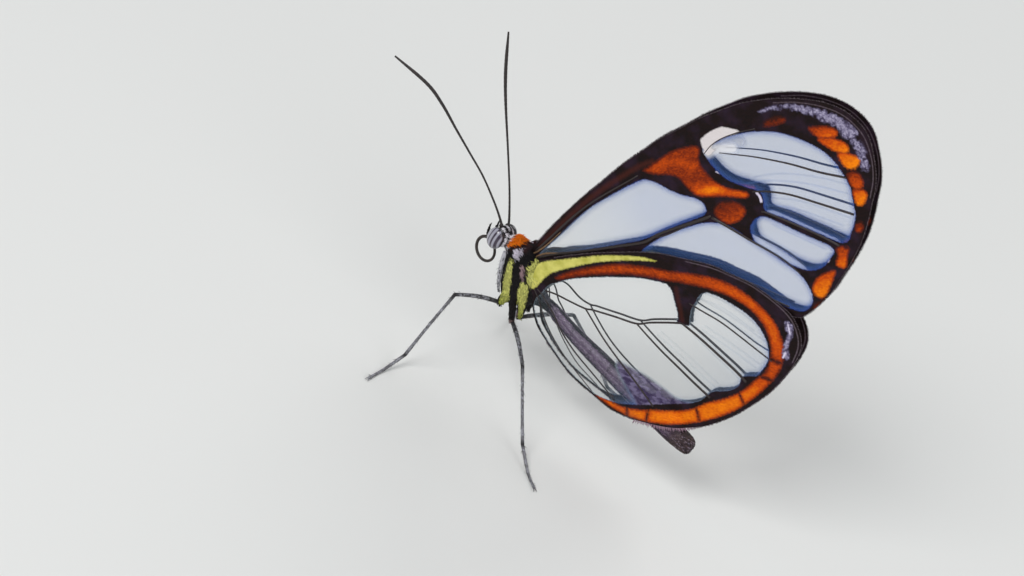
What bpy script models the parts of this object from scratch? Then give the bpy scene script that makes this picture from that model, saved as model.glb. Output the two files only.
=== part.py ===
"""A glasswing butterfly at life size, standing with its wings closed over its back.

The head points to -X, the left side to -Y and Z is up. Sizes are in millimetres and are
turned into metres when a mesh is made. The box of the whole insect stands on Z = 0 with
its middle over the origin.
"""

import math

import bmesh
import bpy
import numpy as np
from mathutils import Vector
from mathutils.geometry import delaunay_2d_cdt

MILLIMETRE = 0.001
GAP = 0.3  # clearance between a piece and what it grows from

# Wings. A wing has its own flat frame: u runs from the hinge to the tip, v to the front margin.
MEMBRANE = 0.5
VEIN_RISE = 0.15  # how far a vein stands out of the outer face
VEIN_HALF_WIDTH = 0.32
VEIN_STEP = 0.95
MARGIN_STEP = 1.1
FILL_STEP = 1.9

FOREWING_HINGE = (4.0, 10.2)
FOREWING_ANGLE = math.radians(54)
FOREWING_SIDE = 0.45  # distance of the wing's middle from the midline
FOREWING_ROOT_SPREAD = 0.12
FOREWING_TIP_SPREAD = 0.1
FOREWING_MARGIN = [
    (-0.7, 0.25), (2.0, 1.25), (5.0, 2.35), (8.7, 3.5), (12.1, 4.3), (15.3, 4.7),
    (18.3, 4.7), (21.0, 4.2), (23.4, 3.2), (24.9, 1.8), (25.5, 0.2), (25.1, -1.8),
    (23.9, -3.7), (22.2, -5.6), (20.5, -7.0), (18.7, -8.2), (16.8, -9.0), (15.7, -9.0),
    (14.5, -7.9), (12.6, -6.35), (10.4, -4.85), (8.0, -3.6), (5.0, -2.35), (2.4, -1.4),
    (-0.7, -0.6),
]
FOREWING_VEINS = {
    "costal": [(0.6, 0.4), (5.0, 1.95), (10.5, 3.6), (15.5, 4.2), (20.0, 3.9), (23.4, 2.4)],
    "radial": [(0.6, 0.0), (4.0, 1.15), (8.0, 2.1), (11.5, 2.8), (14.8, 2.9), (18.0, 2.9), (21.5, 2.1)],
    "cubital": [(0.6, -0.35), (3.3, -0.9), (6.2, -1.3), (8.0, -1.5), (10.8, -1.3), (13.1, -1.2)],
    "cell_end": [(14.6, 2.9), (13.9, 1.2), (13.1, -1.2)],
    "medial_1": [(14.3, 2.2), (16.6, 1.9), (18.7, 0.9), (20.9, -0.6), (23.6, -2.2)],
    "medial_2": [(13.9, 1.2), (15.8, -0.1), (17.4, -0.9), (19.5, -2.0), (22.7, -4.1)],
    "medial_3": [(13.4, -0.3), (15.2, -1.2), (16.6, -2.0), (18.6, -3.7), (21.2, -5.8)],
    "cubital_1": [(13.1, -1.2), (15.1, -3.4), (17.0, -5.6), (18.5, -7.5)],
    "anal": [(0.6, -0.75), (4.5, -1.75), (8.0, -3.0), (11.0, -4.6), (14.6, -7.2)],
}

HINDWING_HINGE = (5.5, 8.8)
HINDWING_ANGLE = math.radians(21)
HINDWING_SIDE = 0.42
HINDWING_OVER = FOREWING_SIDE + MEMBRANE + VEIN_RISE + GAP  # where it lies over the forewing
HINDWING_ROOT_SPREAD = 0.3
HINDWING_PLATEAU = 1.45  # width of the strip that lies over the forewing
HINDWING_SLOPE = 2.6  # width of the slope from that strip to the flat of the wing
HINDWING_ROOT_DIP = 0.55  # how far the hinge itself lies in from the strip
GUTTER_FLOOR = 0.35  # half width of the strip that runs along the side of the abdomen
GUTTER_SLOPE = 1.45
GUTTER_CLEARANCE = 0.5
HINDWING_MARGIN = [
    (-0.9, 0.35), (-0.2, 1.4), (1.2, 2.3), (2.8, 3.0), (5.3, 3.9), (8.0, 4.6),
    (10.7, 4.85), (13.0, 4.6), (15.2, 4.0), (16.9, 2.9), (17.7, 1.4), (17.6, -0.1),
    (16.7, -2.0), (14.9, -4.2), (13.0, -5.9), (10.7, -7.1), (8.3, -7.55), (6.3, -7.5),
    (4.4, -6.9), (2.9, -6.0), (1.5, -4.8), (0.3, -3.6), (-0.3, -2.5), (-0.5, -1.4), (-0.9, -0.5),
]
HINDWING_VEINS = {
    "subcostal": [(0.5, 1.1), (2.4, 2.3), (6.5, 3.7), (10.5, 4.2), (14.5, 3.5), (16.5, 2.0)],
    "radial": [(0.4, 0.3), (2.5, 1.4), (5.2, 2.3), (8.4, 2.8), (10.4, 3.0), (13.0, 2.7), (15.4, 1.1)],
    "cubital": [(0.4, -0.3), (1.3, -0.5), (3.1, -0.8), (6.7, -0.8), (8.9, -0.1), (9.8, 0.1)],
    "cell_end": [(10.2, 2.9), (9.9, 1.4), (9.8, 0.1)],
    "medial_1": [(10.0, 1.7), (11.5, 1.3), (13.7, 0.35), (16.4, -0.8)],
    "medial_2": [(9.8, 0.1), (11.8, -0.9), (14.1, -2.2), (15.4, -2.9)],
    "cubital_1": [(6.7, -0.8), (8.5, -2.2), (10.7, -3.7), (12.3, -5.2)],
    "cubital_2": [(3.1, -0.8), (4.3, -2.4), (6.6, -4.6), (8.3, -6.6)],
    "anal": [(0.4, -1.0), (1.5, -2.9), (3.8, -5.0), (5.8, -6.7)],
}

# Body. A station is its place along X, its lowest and highest Z, and its half width.
BODY_SIDES = 20
BODY_STEP = 0.5
THORAX = [
    (2.65, 7.5, 8.6, 0.4), (2.9, 6.8, 9.1, 0.7), (3.25, 6.1, 9.9, 0.95), (3.65, 5.6, 10.4, 1.1),
    (4.2, 5.7, 10.55, 1.15), (4.8, 6.1, 10.3, 1.1), (5.4, 6.6, 9.7, 0.95), (5.9, 6.95, 8.9, 0.75),
    (6.3, 7.1, 8.2, 0.5),
]
COLLAR = [
    (2.3, 9.1, 9.9, 0.45), (2.55, 8.9, 10.25, 0.75), (2.8, 8.95, 10.45, 0.85), (3.05, 9.2, 10.5, 0.75),
]
ABDOMEN = [
    (5.7, 7.1, 8.1, 0.4), (6.4, 6.85, 7.8, 0.45), (7.2, 6.5, 7.55, 0.5), (9.0, 5.95, 7.05, 0.55),
    (11.0, 5.45, 6.7, 0.62), (13.0, 5.0, 6.3, 0.68), (15.0, 4.55, 6.0, 0.74), (17.0, 4.15, 5.65, 0.76),
    (18.4, 4.0, 5.25, 0.66), (19.3, 4.2, 4.9, 0.4),
]
# The head and what it carries are laid out facing -X and then turned a little to the right.
HEAD = [
    (0.95, 8.95, 9.7, 0.4), (1.2, 8.75, 10.2, 0.7), (1.5, 8.7, 10.35, 0.8),
    (1.8, 8.8, 10.25, 0.75), (2.05, 9.0, 9.9, 0.5),
]
HEAD_PIVOT = (2.2, 0.0)
HEAD_TURN = math.radians(17)

EYE_PLACE = (1.47, 0.6, 9.36)  # middle of the flat inner face of an eye
EYE_RADII = (0.6, 0.5, 0.75)
EYE_SIDES = 14
EYE_RINGS = 5

# Slender pieces are tubes along a smooth path: points and the radius at each of them.
TUBE_SIDES = 8
ANTENNA_STEP = 1.2
ANTENNA_RADII = [0.25, 0.25, 0.25, 0.27, 0.18]
ANTENNAE = {
    "left": [
        (1.5, 0.02, 9.9), (0.45, -0.4, 11.5), (-1.4, -1.0, 13.4), (-3.7, -2.0, 15.5), (-6.5, -3.0, 17.6),
        (-9.1, -3.4, 18.3),
    ],
    "right": [(1.6, 0.6, 9.9), (0.4, 0.7, 12.3), (-0.9, 0.8, 14.7), (-2.5, 0.9, 17.5), (-4.4, 1.0, 21.7)],
}
PALP_RADII = [0.26, 0.25, 0.16]
PALP = [(1.2, 0.32, 9.05), (0.46, 0.36, 9.0), (0.4, 0.4, 9.7)]
PROBOSCIS_RADIUS = 0.25
PROBOSCIS_TIP_RADIUS = 0.16
PROBOSCIS_COIL = 0.7  # from the middle of the coil to the middle of the tube
PROBOSCIS_MIDDLE = (0.91, 7.75)
PROBOSCIS_START = math.radians(75)
PROBOSCIS_TURN = math.radians(285)

COXA_RADII = [0.6, 0.5, 0.34]
COXAE = {
    "mid": [(4.0, 0.45, 7.2), (3.8, 0.5, 6.3), (3.6, 0.5, 5.5)],
    "hind": [(4.6, 0.45, 7.2), (4.75, 0.47, 6.0), (4.87, 0.45, 4.8)],
}
LEG_STEP = 1.6
FEMUR_RADII = [0.3, 0.32, 0.26]
TIBIA_RADII = [0.27, 0.27, 0.25]
TARSUS_RADII = [0.26, 0.25, 0.2]
# For each leg: root in its coxa, knee, ankle, where the foot comes down, and its tip.
LEGS = {
    "mid_left": [
        (3.6, -0.5, 5.5), (1.44, -3.5, 6.17), (0.66, -4.7, 0.9), (0.25, -6.4, 0.22), (0.05, -7.9, 0.2),
    ],
    "mid_right": [
        (3.6, 0.5, 5.5), (2.4, 3.6, 6.1), (3.3, 5.2, 0.9), (3.1, 6.8, 0.22), (2.8, 8.2, 0.2),
    ],
    "hind_left": [
        (4.87, -0.45, 4.8), (7.51, -3.5, 4.68), (10.3, -5.2, 0.9), (11.7, -6.3, 0.22), (12.7, -7.2, 0.2),
    ],
    "hind_right": [
        (4.87, 0.45, 4.8), (7.3, 4.0, 5.0), (11.3, 5.4, 0.9), (13.3, 6.1, 0.22), (15.6, 6.6, 0.2),
    ],
}
FORELEG_RADII = [0.26, 0.25, 0.2]
FORELEG = [(3.3, 0.42, 8.3), (2.45, 0.46, 8.1), (2.4, 0.5, 7.2), (2.7, 0.48, 6.1)]

COLOURS = {
    "wing": ((0.42, 0.50, 0.50), 0.25),
    "body_scales": ((0.035, 0.025, 0.030), 0.6),
    "collar_scales": ((0.75, 0.19, 0.03), 0.65),
    "abdomen_scales": ((0.20, 0.17, 0.21), 0.6),
    "horn": ((0.030, 0.025, 0.025), 0.35),
    "eye": ((0.33, 0.33, 0.37), 0.15),
    "leg": ((0.16, 0.15, 0.16), 0.5),
}


def clear_scene():
    for thing in list(bpy.data.objects):
        bpy.data.objects.remove(thing)


def make_materials():
    made = {}
    for name, (colour, roughness) in COLOURS.items():
        material = bpy.data.materials.new(name)
        material.use_nodes = True
        shader = material.node_tree.nodes["Principled BSDF"]
        shader.inputs["Base Color"].default_value = (*colour, 1)
        shader.inputs["Roughness"].default_value = roughness
        shader.inputs["Metallic"].default_value = 0
        made[name] = material
    return made


def smooth_path(points, step):
    """Places at an even step along a Catmull-Rom curve through the given points."""
    given = np.array(points, float)
    ends = np.vstack([2 * given[0] - given[1], given, 2 * given[-1] - given[-2]])
    t = np.linspace(0, 1, 24, endpoint=False)[:, None]
    pieces = []
    for a, b, c, d in zip(ends[:-3], ends[1:-2], ends[2:-1], ends[3:]):
        cubic = (3 * b - a - 3 * c + d) * t**3
        square = (2 * a - 5 * b + 4 * c - d) * t**2
        pieces.append(0.5 * (2 * b + (c - a) * t + square + cubic))
    fine = np.vstack([*pieces, given[-1:]])
    along = np.concatenate([[0], np.cumsum(np.linalg.norm(np.diff(fine, axis=0), axis=1))])
    places = np.linspace(0, along[-1], max(2, round(along[-1] / step)) + 1)
    return np.column_stack([np.interp(places, along, column) for column in fine.T])


def add_mesh(name, points, faces, material, smooth=True):
    """One object from points in millimetres."""
    mesh = bpy.data.meshes.new(name)
    mesh.from_pydata((np.asarray(points) * MILLIMETRE).tolist(), [], faces)
    mesh.materials.append(material)
    thing = bpy.data.objects.new(name, mesh)
    bpy.context.scene.collection.objects.link(thing)
    if smooth:
        mesh.shade_smooth()
        mesh.set_sharp_from_angle(angle=math.radians(40))
    return thing


def skin_rings(rings):
    """Faces that join rings of equal count into one closed tube, with a point closing each end."""
    count, sides = rings.shape[:2]
    points = np.vstack([rings.reshape(-1, 3), rings[0].mean(axis=0), rings[-1].mean(axis=0)])
    first, last = count * sides, count * sides + 1
    faces = []
    for ring in range(count - 1):
        for side in range(sides):
            a = ring * sides + side
            b = ring * sides + (side + 1) % sides
            faces.append((a, b, b + sides, a + sides))
    for side in range(sides):
        after = (side + 1) % sides
        faces.append((first, after, side))
        faces.append((last, (count - 1) * sides + side, (count - 1) * sides + after))
    return points, faces


def body_rings(stations):
    """Elliptical rings of a body along X."""
    x, low, high, half = smooth_path(stations, BODY_STEP).T
    turn = np.linspace(0, 2 * math.pi, BODY_SIDES, endpoint=False)[None, :]
    across = half[:, None] * np.cos(turn)
    up = ((low + high) / 2)[:, None] + ((high - low) / 2)[:, None] * np.sin(turn)
    return np.stack([np.broadcast_to(x[:, None], across.shape), across, up], axis=-1)


def add_body(name, stations, material):
    points, faces = skin_rings(body_rings(stations))
    return add_mesh(name, points, faces, material)


def unit(vector):
    return np.asarray(vector) / np.linalg.norm(vector)


def grown(points, faces, by):
    """The points of a closed shell moved out of it, so far that each face moves by the given length."""
    flat_normals = []
    out = np.zeros_like(points)
    for face in faces:
        runs = points[list(face[1:])] - points[face[0]]
        normal = np.cross(runs[:-1], runs[1:]).sum(axis=0)
        out[list(face)] += normal
        flat_normals.append(unit(normal))
    out /= np.linalg.norm(out, axis=1)[:, None]
    least = np.ones(len(points))
    for face, normal in zip(faces, flat_normals):
        corners = list(face)
        least[corners] = np.minimum(least[corners], out[corners] @ normal)
    return points + by * out / np.maximum(least, 0.6)[:, None]


def tube_rings(path, radii, sides=TUBE_SIDES):
    """Rings square to a path, each turned as little as possible from the one before."""
    along = np.gradient(path, axis=0)
    along /= np.linalg.norm(along, axis=1)[:, None]
    across = Vector(along[0]).orthogonal().normalized()
    turn = np.linspace(0, 2 * math.pi, sides, endpoint=False)[:, None]
    rings = []
    for place, direction, radius in zip(path, along, radii):
        way = Vector(direction)
        across = (across - way * across.dot(way)).normalized()
        other = way.cross(across)
        rings.append(place + radius * (np.cos(turn) * np.array(across) + np.sin(turn) * np.array(other)))
    return np.array(rings)


def add_tube(name, points, radii, step, material, floor=None):
    """A tapered tube; with a floor, what would reach below it is pressed flat on it."""
    path = smooth_path(points, step)
    places = np.linspace(0, len(radii) - 1, len(path))
    rings = tube_rings(path, np.interp(places, np.arange(len(radii)), radii))
    if floor is not None:
        rings[..., 2] = np.maximum(rings[..., 2], floor)
    corners, faces = skin_rings(rings)
    return add_mesh(name, corners, faces, material)


def add_cutter(name, rings, grow=0.0):
    """A hidden body that other pieces are joined to or cut clear of."""
    points, faces = skin_rings(rings)
    cutter = add_mesh(name, grown(points, faces, grow), faces, bpy.data.materials["horn"], smooth=False)
    cutter.hide_render = True
    cutter.display_type = "WIRE"
    return cutter


def cut_clear(thing, cutter):
    cut = thing.modifiers.new("clear of " + cutter.name, "BOOLEAN")
    cut.operation = "DIFFERENCE"
    cut.object = cutter


def drop_scraps(mesh):
    """Keeps the largest closed surface of a mesh and drops what a cut has left loose beside it."""
    shape = bmesh.new()
    shape.from_mesh(mesh)
    unseen = set(shape.faces)
    surfaces = []
    while unseen:
        surface = [unseen.pop()]
        for face in surface:
            near = {other for edge in face.edges for other in edge.link_faces} & unseen
            unseen -= near
            surface.extend(near)
        surfaces.append(surface)
    surfaces.sort(key=lambda surface: sum(face.calc_area() for face in surface))
    for scrap in surfaces[:-1]:
        bmesh.ops.delete(shape, geom=scrap, context="FACES")
    shape.to_mesh(mesh)
    shape.free()


def finish_pieces():
    """Applies every join and cut for good, then removes the hidden bodies that made them."""
    graph = bpy.context.evaluated_depsgraph_get()
    helpers = [thing for thing in bpy.data.objects if thing.hide_render]
    pieces = [thing for thing in bpy.data.objects if thing.modifiers]
    meshes = [bpy.data.meshes.new_from_object(piece.evaluated_get(graph)) for piece in pieces]
    for piece, mesh in zip(pieces, meshes):
        piece.modifiers.clear()
        piece.data = mesh
        mesh.name = piece.name
        drop_scraps(mesh)
    for helper in helpers:
        bpy.data.objects.remove(helper)
    for group in list(bpy.data.collections):
        if not group.objects:
            bpy.data.collections.remove(group)


def line_distance(points, line):
    """Distance from each point to the nearest place on a line of straight runs."""
    starts, runs = line[:-1], np.diff(line, axis=0)
    offset = points[:, None] - starts
    share = (offset * runs).sum(axis=2) / (runs**2).sum(axis=1)
    nearest = starts + np.clip(share, 0, 1)[..., None] * runs
    return np.linalg.norm(points[:, None] - nearest, axis=2).min(axis=1)


def soft_step(value):
    """Zero below 0, one above 1, and a smooth rise between them."""
    held = np.clip(value, 0, 1)
    return held * held * (3 - 2 * held)


def inside(place, loop):
    """Whether a place is inside a closed loop, by counting the sides that a ray crosses."""
    after = np.roll(loop, -1, axis=0)
    spans = (loop[:, 1] > place[1]) != (after[:, 1] > place[1])
    start, run = loop[spans], (after - loop)[spans]
    crossing = start[:, 0] + (place[1] - start[:, 1]) * run[:, 0] / run[:, 1]
    return np.count_nonzero(crossing > place[0]) % 2 == 1


def add_spaced(points, more, space, margin):
    """Adds the places inside the margin that keep a space from every point so far, and numbers them."""
    kept = []
    for place in more:
        if np.linalg.norm(np.array(points) - place, axis=1).min() < space:
            continue
        if inside(place, margin) and line_distance(place[None], margin)[0] > 0.5 * space:
            kept.append(len(points))
            points.append(tuple(place))
    return kept


def wing_pattern(margin_points, veins):
    """The flat pattern of a wing: its points, its triangles, and how high a vein is at each point."""
    margin = smooth_path(margin_points, MARGIN_STEP)
    count = len(margin)
    points = [tuple(place) for place in margin]
    creases = [(i, (i + 1) % count) for i in range(count)]
    lines = [smooth_path(line, VEIN_STEP) for line in veins.values()]
    for line in lines:
        kept = add_spaced(points, line, 0.45 * VEIN_STEP, margin)
        creases += [(a, b) for a, b in zip(kept, kept[1:]) if b == a + 1]
    for line in lines:
        along = np.gradient(line, axis=0)
        across = np.column_stack([-along[:, 1], along[:, 0]])
        across *= VEIN_HALF_WIDTH / np.linalg.norm(across, axis=1)[:, None]
        add_spaced(points, line + across, 0.8 * VEIN_HALF_WIDTH, margin)
        add_spaced(points, line - across, 0.8 * VEIN_HALF_WIDTH, margin)
    low, high = margin.min(axis=0), margin.max(axis=0)
    rows = np.arange(low[1], high[1], FILL_STEP * math.sqrt(0.75))
    for number, row in enumerate(rows):
        start = low[0] + FILL_STEP * (0.5 if number % 2 else 0)
        fill = [(u, row) for u in np.arange(start, high[0], FILL_STEP)]
        add_spaced(points, np.array(fill), 0.5 * FILL_STEP, margin)
    flat, _, triangles, *_ = delaunay_2d_cdt([Vector(p) for p in points], creases, [], 1, 1e-6)
    flat = np.array([tuple(place) for place in flat])
    distance = np.min([line_distance(flat, line) for line in lines], axis=0)
    return flat, triangles, VEIN_RISE * np.clip(1 - distance / VEIN_HALF_WIDTH, 0, 1)


def turned(flat, hinge, angle):
    """Wing places (u, v) as places (x, z) of the insect."""
    cos, sin = math.cos(angle), math.sin(angle)
    u, v = flat.T
    return np.column_stack([hinge[0] + cos * u - sin * v, hinge[1] + sin * u + cos * v])


def forewing_side(flat):
    u = flat[:, 0]
    root = FOREWING_ROOT_SPREAD * np.exp(-((np.maximum(u, 0) / 2.5) ** 2))
    return FOREWING_SIDE + root + FOREWING_TIP_SPREAD * soft_step((u - 10) / 12)


def hindwing_side(flat):
    """The hindwing lies out over the forewing at its front margin and round the abdomen behind."""
    margin = smooth_path(HINDWING_MARGIN, MARGIN_STEP)
    front = margin[: 1 + int(np.argmax(margin[:, 0]))]
    over = HINDWING_OVER - HINDWING_SIDE
    over = over + HINDWING_ROOT_SPREAD * np.exp(-((np.maximum(flat[:, 0], 0) / 3) ** 2))
    reach = 1 + (HINDWING_PLATEAU - line_distance(flat, front)) / HINDWING_SLOPE
    strip = over * soft_step(reach)
    hinge = HINDWING_ROOT_DIP * np.exp(-(((flat - (-0.6, -0.5)) ** 2).sum(axis=1)) / 0.9)
    places = turned(flat, HINDWING_HINGE, HINDWING_ANGLE)
    axis = np.array([(x, (low + high) / 2) for x, low, high, _ in ABDOMEN])
    width = np.interp(places[:, 0], axis[:, 0], [half for *_, half in ABDOMEN])
    past = line_distance(places, axis)
    outside = width + GUTTER_CLEARANCE + 0.5 * MEMBRANE - HINDWING_SIDE
    gutter = outside * soft_step(1 + (GUTTER_FLOOR - past) / GUTTER_SLOPE)
    return HINDWING_SIDE + np.maximum(strip - hinge, gutter)


def add_wing(name, pattern, side_of, hinge, angle, way, material):
    """A wing as one closed plate; way is -1 for the left side and 1 for the right."""
    flat, triangles, rise = pattern
    places = turned(flat, hinge, angle)
    middle = side_of(flat)
    outer = np.column_stack([places[:, 0], way * (middle + MEMBRANE / 2 + rise), places[:, 1]])
    inner = np.column_stack([places[:, 0], way * (middle - MEMBRANE / 2), places[:, 1]])
    count = len(flat)
    edges = {}
    faces = []
    for a, b, c in triangles:
        faces.append((a, b, c))
        faces.append((count + c, count + b, count + a))
        for edge in ((a, b), (b, c), (c, a)):
            edges[edge] = edges.get(edge[::-1], 0) + 1
    for a, b in edges:
        if (b, a) not in edges:
            faces.append((b, a, count + a))
            faces.append((b, count + a, count + b))
    if way > 0:
        faces = [face[::-1] for face in faces]
    return add_mesh(name, np.vstack([outer, inner]), faces, material)


def turned_head(points):
    """Places of the head as it is laid out, turned about the neck."""
    laid = np.asarray(points, float)
    out = laid.copy()
    cos, sin = math.cos(HEAD_TURN), math.sin(HEAD_TURN)
    x, y = laid[..., 0] - HEAD_PIVOT[0], laid[..., 1] - HEAD_PIVOT[1]
    out[..., 0] = HEAD_PIVOT[0] + x * cos + y * sin
    out[..., 1] = HEAD_PIVOT[1] - x * sin + y * cos
    return out


def eye_rings(way):
    """Half an ellipsoid with a flat inner face, as rings from that face out to a small end ring."""
    rise = np.linspace(0, math.radians(82), EYE_RINGS)
    turn = np.linspace(0, 2 * math.pi, EYE_SIDES, endpoint=False)
    x = EYE_PLACE[0] + EYE_RADII[0] * np.outer(np.cos(rise), np.cos(turn))
    z = EYE_PLACE[2] + EYE_RADII[2] * np.outer(np.cos(rise), np.sin(turn))
    y = way * np.broadcast_to((EYE_PLACE[1] + EYE_RADII[1] * np.sin(rise))[:, None], x.shape)
    rings = turned_head(np.stack([x, y, z], axis=-1))
    return rings if way < 0 else rings[:, ::-1]


def shortened(start, end, by_start, by_end):
    """The straight run between two joints, drawn in at each end."""
    start, end = np.array(start), np.array(end)
    way = (end - start) / np.linalg.norm(end - start)
    return [tuple(start + way * by_start), tuple((start + end) / 2), tuple(end - way * by_end)]


def mirrored(points, way):
    return [(x, way * y, z) for x, y, z in points]


def coxa_rings(pair, way):
    """The first piece of a leg, which hangs under the thorax and is one with it."""
    path = smooth_path(mirrored(COXAE[pair], way), 0.5 * LEG_STEP)
    places = np.linspace(0, len(COXA_RADII) - 1, len(path))
    return tube_rings(path, np.interp(places, np.arange(len(COXA_RADII)), COXA_RADII))


def add_thorax(material):
    """The thorax with the four coxae of its walking legs joined on."""
    thorax = add_body("thorax", THORAX, material)
    lobes = bpy.data.collections.new("coxae")
    bpy.context.scene.collection.children.link(lobes)
    for pair in COXAE:
        for way in (-1, 1):
            lobe = add_cutter(f"coxa_{pair}_{way}", coxa_rings(pair, way))
            bpy.context.scene.collection.objects.unlink(lobe)
            lobes.objects.link(lobe)
    union = thorax.modifiers.new("coxae", "BOOLEAN")
    union.operation = "UNION"
    union.operand_type = "COLLECTION"
    union.collection = lobes
    union.solver = "MANIFOLD"
    return thorax


def drawn_in(before, joint, after, radius):
    """How far a tube stops short of a joint, so that the two that meet there stay a gap apart."""
    one, other = unit(np.subtract(before, joint)), unit(np.subtract(after, joint))
    half = math.acos(float(one @ other)) / 2
    return (GAP / 2 + radius * math.cos(half)) / math.sin(half)


def add_leg(name, joints, clearances, material):
    root, knee, ankle, down, tip = joints
    at_knee = drawn_in(root, knee, ankle, TIBIA_RADII[0])
    at_ankle = drawn_in(knee, ankle, down, TARSUS_RADII[0])
    femur = add_tube(f"femur_{name}", shortened(root, knee, 0, at_knee), FEMUR_RADII, LEG_STEP, material)
    for clearance in clearances:
        cut_clear(femur, clearance)
    shank = shortened(knee, ankle, at_knee, at_ankle)
    add_tube(f"tibia_{name}", shank, TIBIA_RADII, LEG_STEP, material)
    foot = [tuple(np.array(ankle) + at_ankle * unit(np.subtract(down, ankle))), down, tip]
    add_tube(f"tarsus_{name}", foot, TARSUS_RADII, 0.5 * LEG_STEP, material, floor=0.0)


def add_proboscis(head_clear, material):
    """A tube coiled in the upright plane of the head, from inside the head round to its tip."""
    turn = PROBOSCIS_START + np.linspace(0, PROBOSCIS_TURN, 15)
    closing = np.linspace(1, 0.93, len(turn))
    x = PROBOSCIS_MIDDLE[0] + PROBOSCIS_COIL * closing * np.cos(turn)
    z = PROBOSCIS_MIDDLE[1] + PROBOSCIS_COIL * closing * np.sin(turn)
    coil = np.column_stack([x, np.zeros_like(x), z])
    root = [coil[0] + (0.45, 0, 0.65), coil[0] + (0.3, 0, 0.25)]
    path = np.vstack([root, coil])
    radii = np.linspace(PROBOSCIS_RADIUS, PROBOSCIS_TIP_RADIUS, len(path))
    corners, faces = skin_rings(turned_head(tube_rings(path, radii)))
    cut_clear(add_mesh("proboscis", corners, faces, material), head_clear)


def centre_on_floor():
    """Hangs every object on one empty, moved so that the box of them all stands over the origin."""
    pieces = list(bpy.context.scene.objects)
    corners = np.vstack([[corner.co for corner in piece.data.vertices] for piece in pieces])
    middle = (corners.min(axis=0) + corners.max(axis=0)) / 2
    stand = bpy.data.objects.new("middle_of_base", None)
    bpy.context.scene.collection.objects.link(stand)
    stand.location = (-middle[0], -middle[1], -corners[:, 2].min())
    for piece in pieces:
        piece.parent = stand


def main():
    clear_scene()
    material = make_materials()
    add_thorax(material["body_scales"])
    thorax_clear = add_cutter("thorax_clearance", body_rings(THORAX), GAP)
    collar = add_body("collar", COLLAR, material["collar_scales"])
    abdomen = add_body("abdomen", ABDOMEN, material["abdomen_scales"])
    for piece in (collar, abdomen):
        cut_clear(piece, thorax_clear)

    points, faces = skin_rings(turned_head(body_rings(HEAD)))
    head = add_mesh("head", points, faces, material["body_scales"])
    head_clear = add_cutter("head_clearance", turned_head(body_rings(HEAD)), GAP)
    cut_clear(head, add_cutter("collar_clearance", body_rings(COLLAR), GAP))
    add_proboscis(head_clear, material["horn"])
    for side, way in (("left", -1), ("right", 1)):
        points, faces = skin_rings(eye_rings(way))
        add_mesh(f"eye_{side}", points, faces, material["eye"])
        eye_clear = add_cutter(f"eye_clearance_{side}", eye_rings(way), GAP)
        for piece in (head, collar):
            cut_clear(piece, eye_clear)
        antenna = add_tube(
            f"antenna_{side}", ANTENNAE[side], ANTENNA_RADII, ANTENNA_STEP, material["horn"]
        )
        palp_path = turned_head(mirrored(PALP, way))
        palp = add_tube(f"palp_{side}", palp_path, PALP_RADII, 0.4, material["body_scales"])
        for piece in (antenna, palp):
            cut_clear(piece, head_clear)
        foreleg = add_tube(f"foreleg_{side}", mirrored(FORELEG, way), FORELEG_RADII, 0.6, material["leg"])
        cut_clear(foreleg, thorax_clear)

    coxa_clear = {}
    for pair in COXAE:
        for side, way in (("left", -1), ("right", 1)):
            clearance = add_cutter(f"coxa_clearance_{pair}_{side}", coxa_rings(pair, way), GAP)
            coxa_clear[f"{pair}_{side}"] = clearance
    for name, joints in LEGS.items():
        add_leg(name, joints, (thorax_clear, coxa_clear[name]), material["leg"])

    fore = wing_pattern(FOREWING_MARGIN, FOREWING_VEINS)
    hind = wing_pattern(HINDWING_MARGIN, HINDWING_VEINS)
    for side, way in (("left", -1), ("right", 1)):
        forewing = add_wing(
            f"forewing_{side}", fore, forewing_side, FOREWING_HINGE, FOREWING_ANGLE, way, material["wing"]
        )
        hindwing = add_wing(
            f"hindwing_{side}", hind, hindwing_side, HINDWING_HINGE, HINDWING_ANGLE, way, material["wing"]
        )
        for wing in (forewing, hindwing):
            cut_clear(wing, thorax_clear)
    finish_pieces()
    centre_on_floor()


main()
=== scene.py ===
# Looks of the glasswing butterfly: clear wings, scaled body, head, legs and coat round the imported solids.
import math
import bpy
import numpy as np
from mathutils import Matrix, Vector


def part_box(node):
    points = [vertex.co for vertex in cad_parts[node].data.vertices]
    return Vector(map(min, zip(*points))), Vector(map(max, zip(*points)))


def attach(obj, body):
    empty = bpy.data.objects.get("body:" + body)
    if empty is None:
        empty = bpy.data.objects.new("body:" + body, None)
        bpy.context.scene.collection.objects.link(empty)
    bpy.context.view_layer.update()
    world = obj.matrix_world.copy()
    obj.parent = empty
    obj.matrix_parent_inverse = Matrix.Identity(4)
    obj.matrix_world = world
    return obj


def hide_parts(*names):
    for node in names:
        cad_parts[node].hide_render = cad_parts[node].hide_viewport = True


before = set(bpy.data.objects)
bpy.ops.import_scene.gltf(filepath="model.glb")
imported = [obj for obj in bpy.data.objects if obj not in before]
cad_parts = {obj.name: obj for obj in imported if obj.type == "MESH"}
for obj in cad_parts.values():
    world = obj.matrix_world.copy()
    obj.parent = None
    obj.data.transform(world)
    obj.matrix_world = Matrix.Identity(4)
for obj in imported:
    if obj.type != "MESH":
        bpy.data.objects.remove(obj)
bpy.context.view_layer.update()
millimetre = 0.001

# Everything is laid out in millimetres: head to -X, left side to -Y, mid-plane at y 0, floor at z 0.
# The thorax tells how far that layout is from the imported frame.
thoraxLow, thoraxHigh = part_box("thorax")
thoraxFront = 2.65
thoraxMiddle = (thoraxLow.y + thoraxHigh.y) / 2 / millimetre
shift = np.array([thoraxLow.x / millimetre - thoraxFront, thoraxMiddle, 0.0])
rng = np.random.default_rng(7)
batch = 8000  # points measured at once, to spare memory
print("frame loaded")


# small tools for lines, grids and meshes

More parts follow.
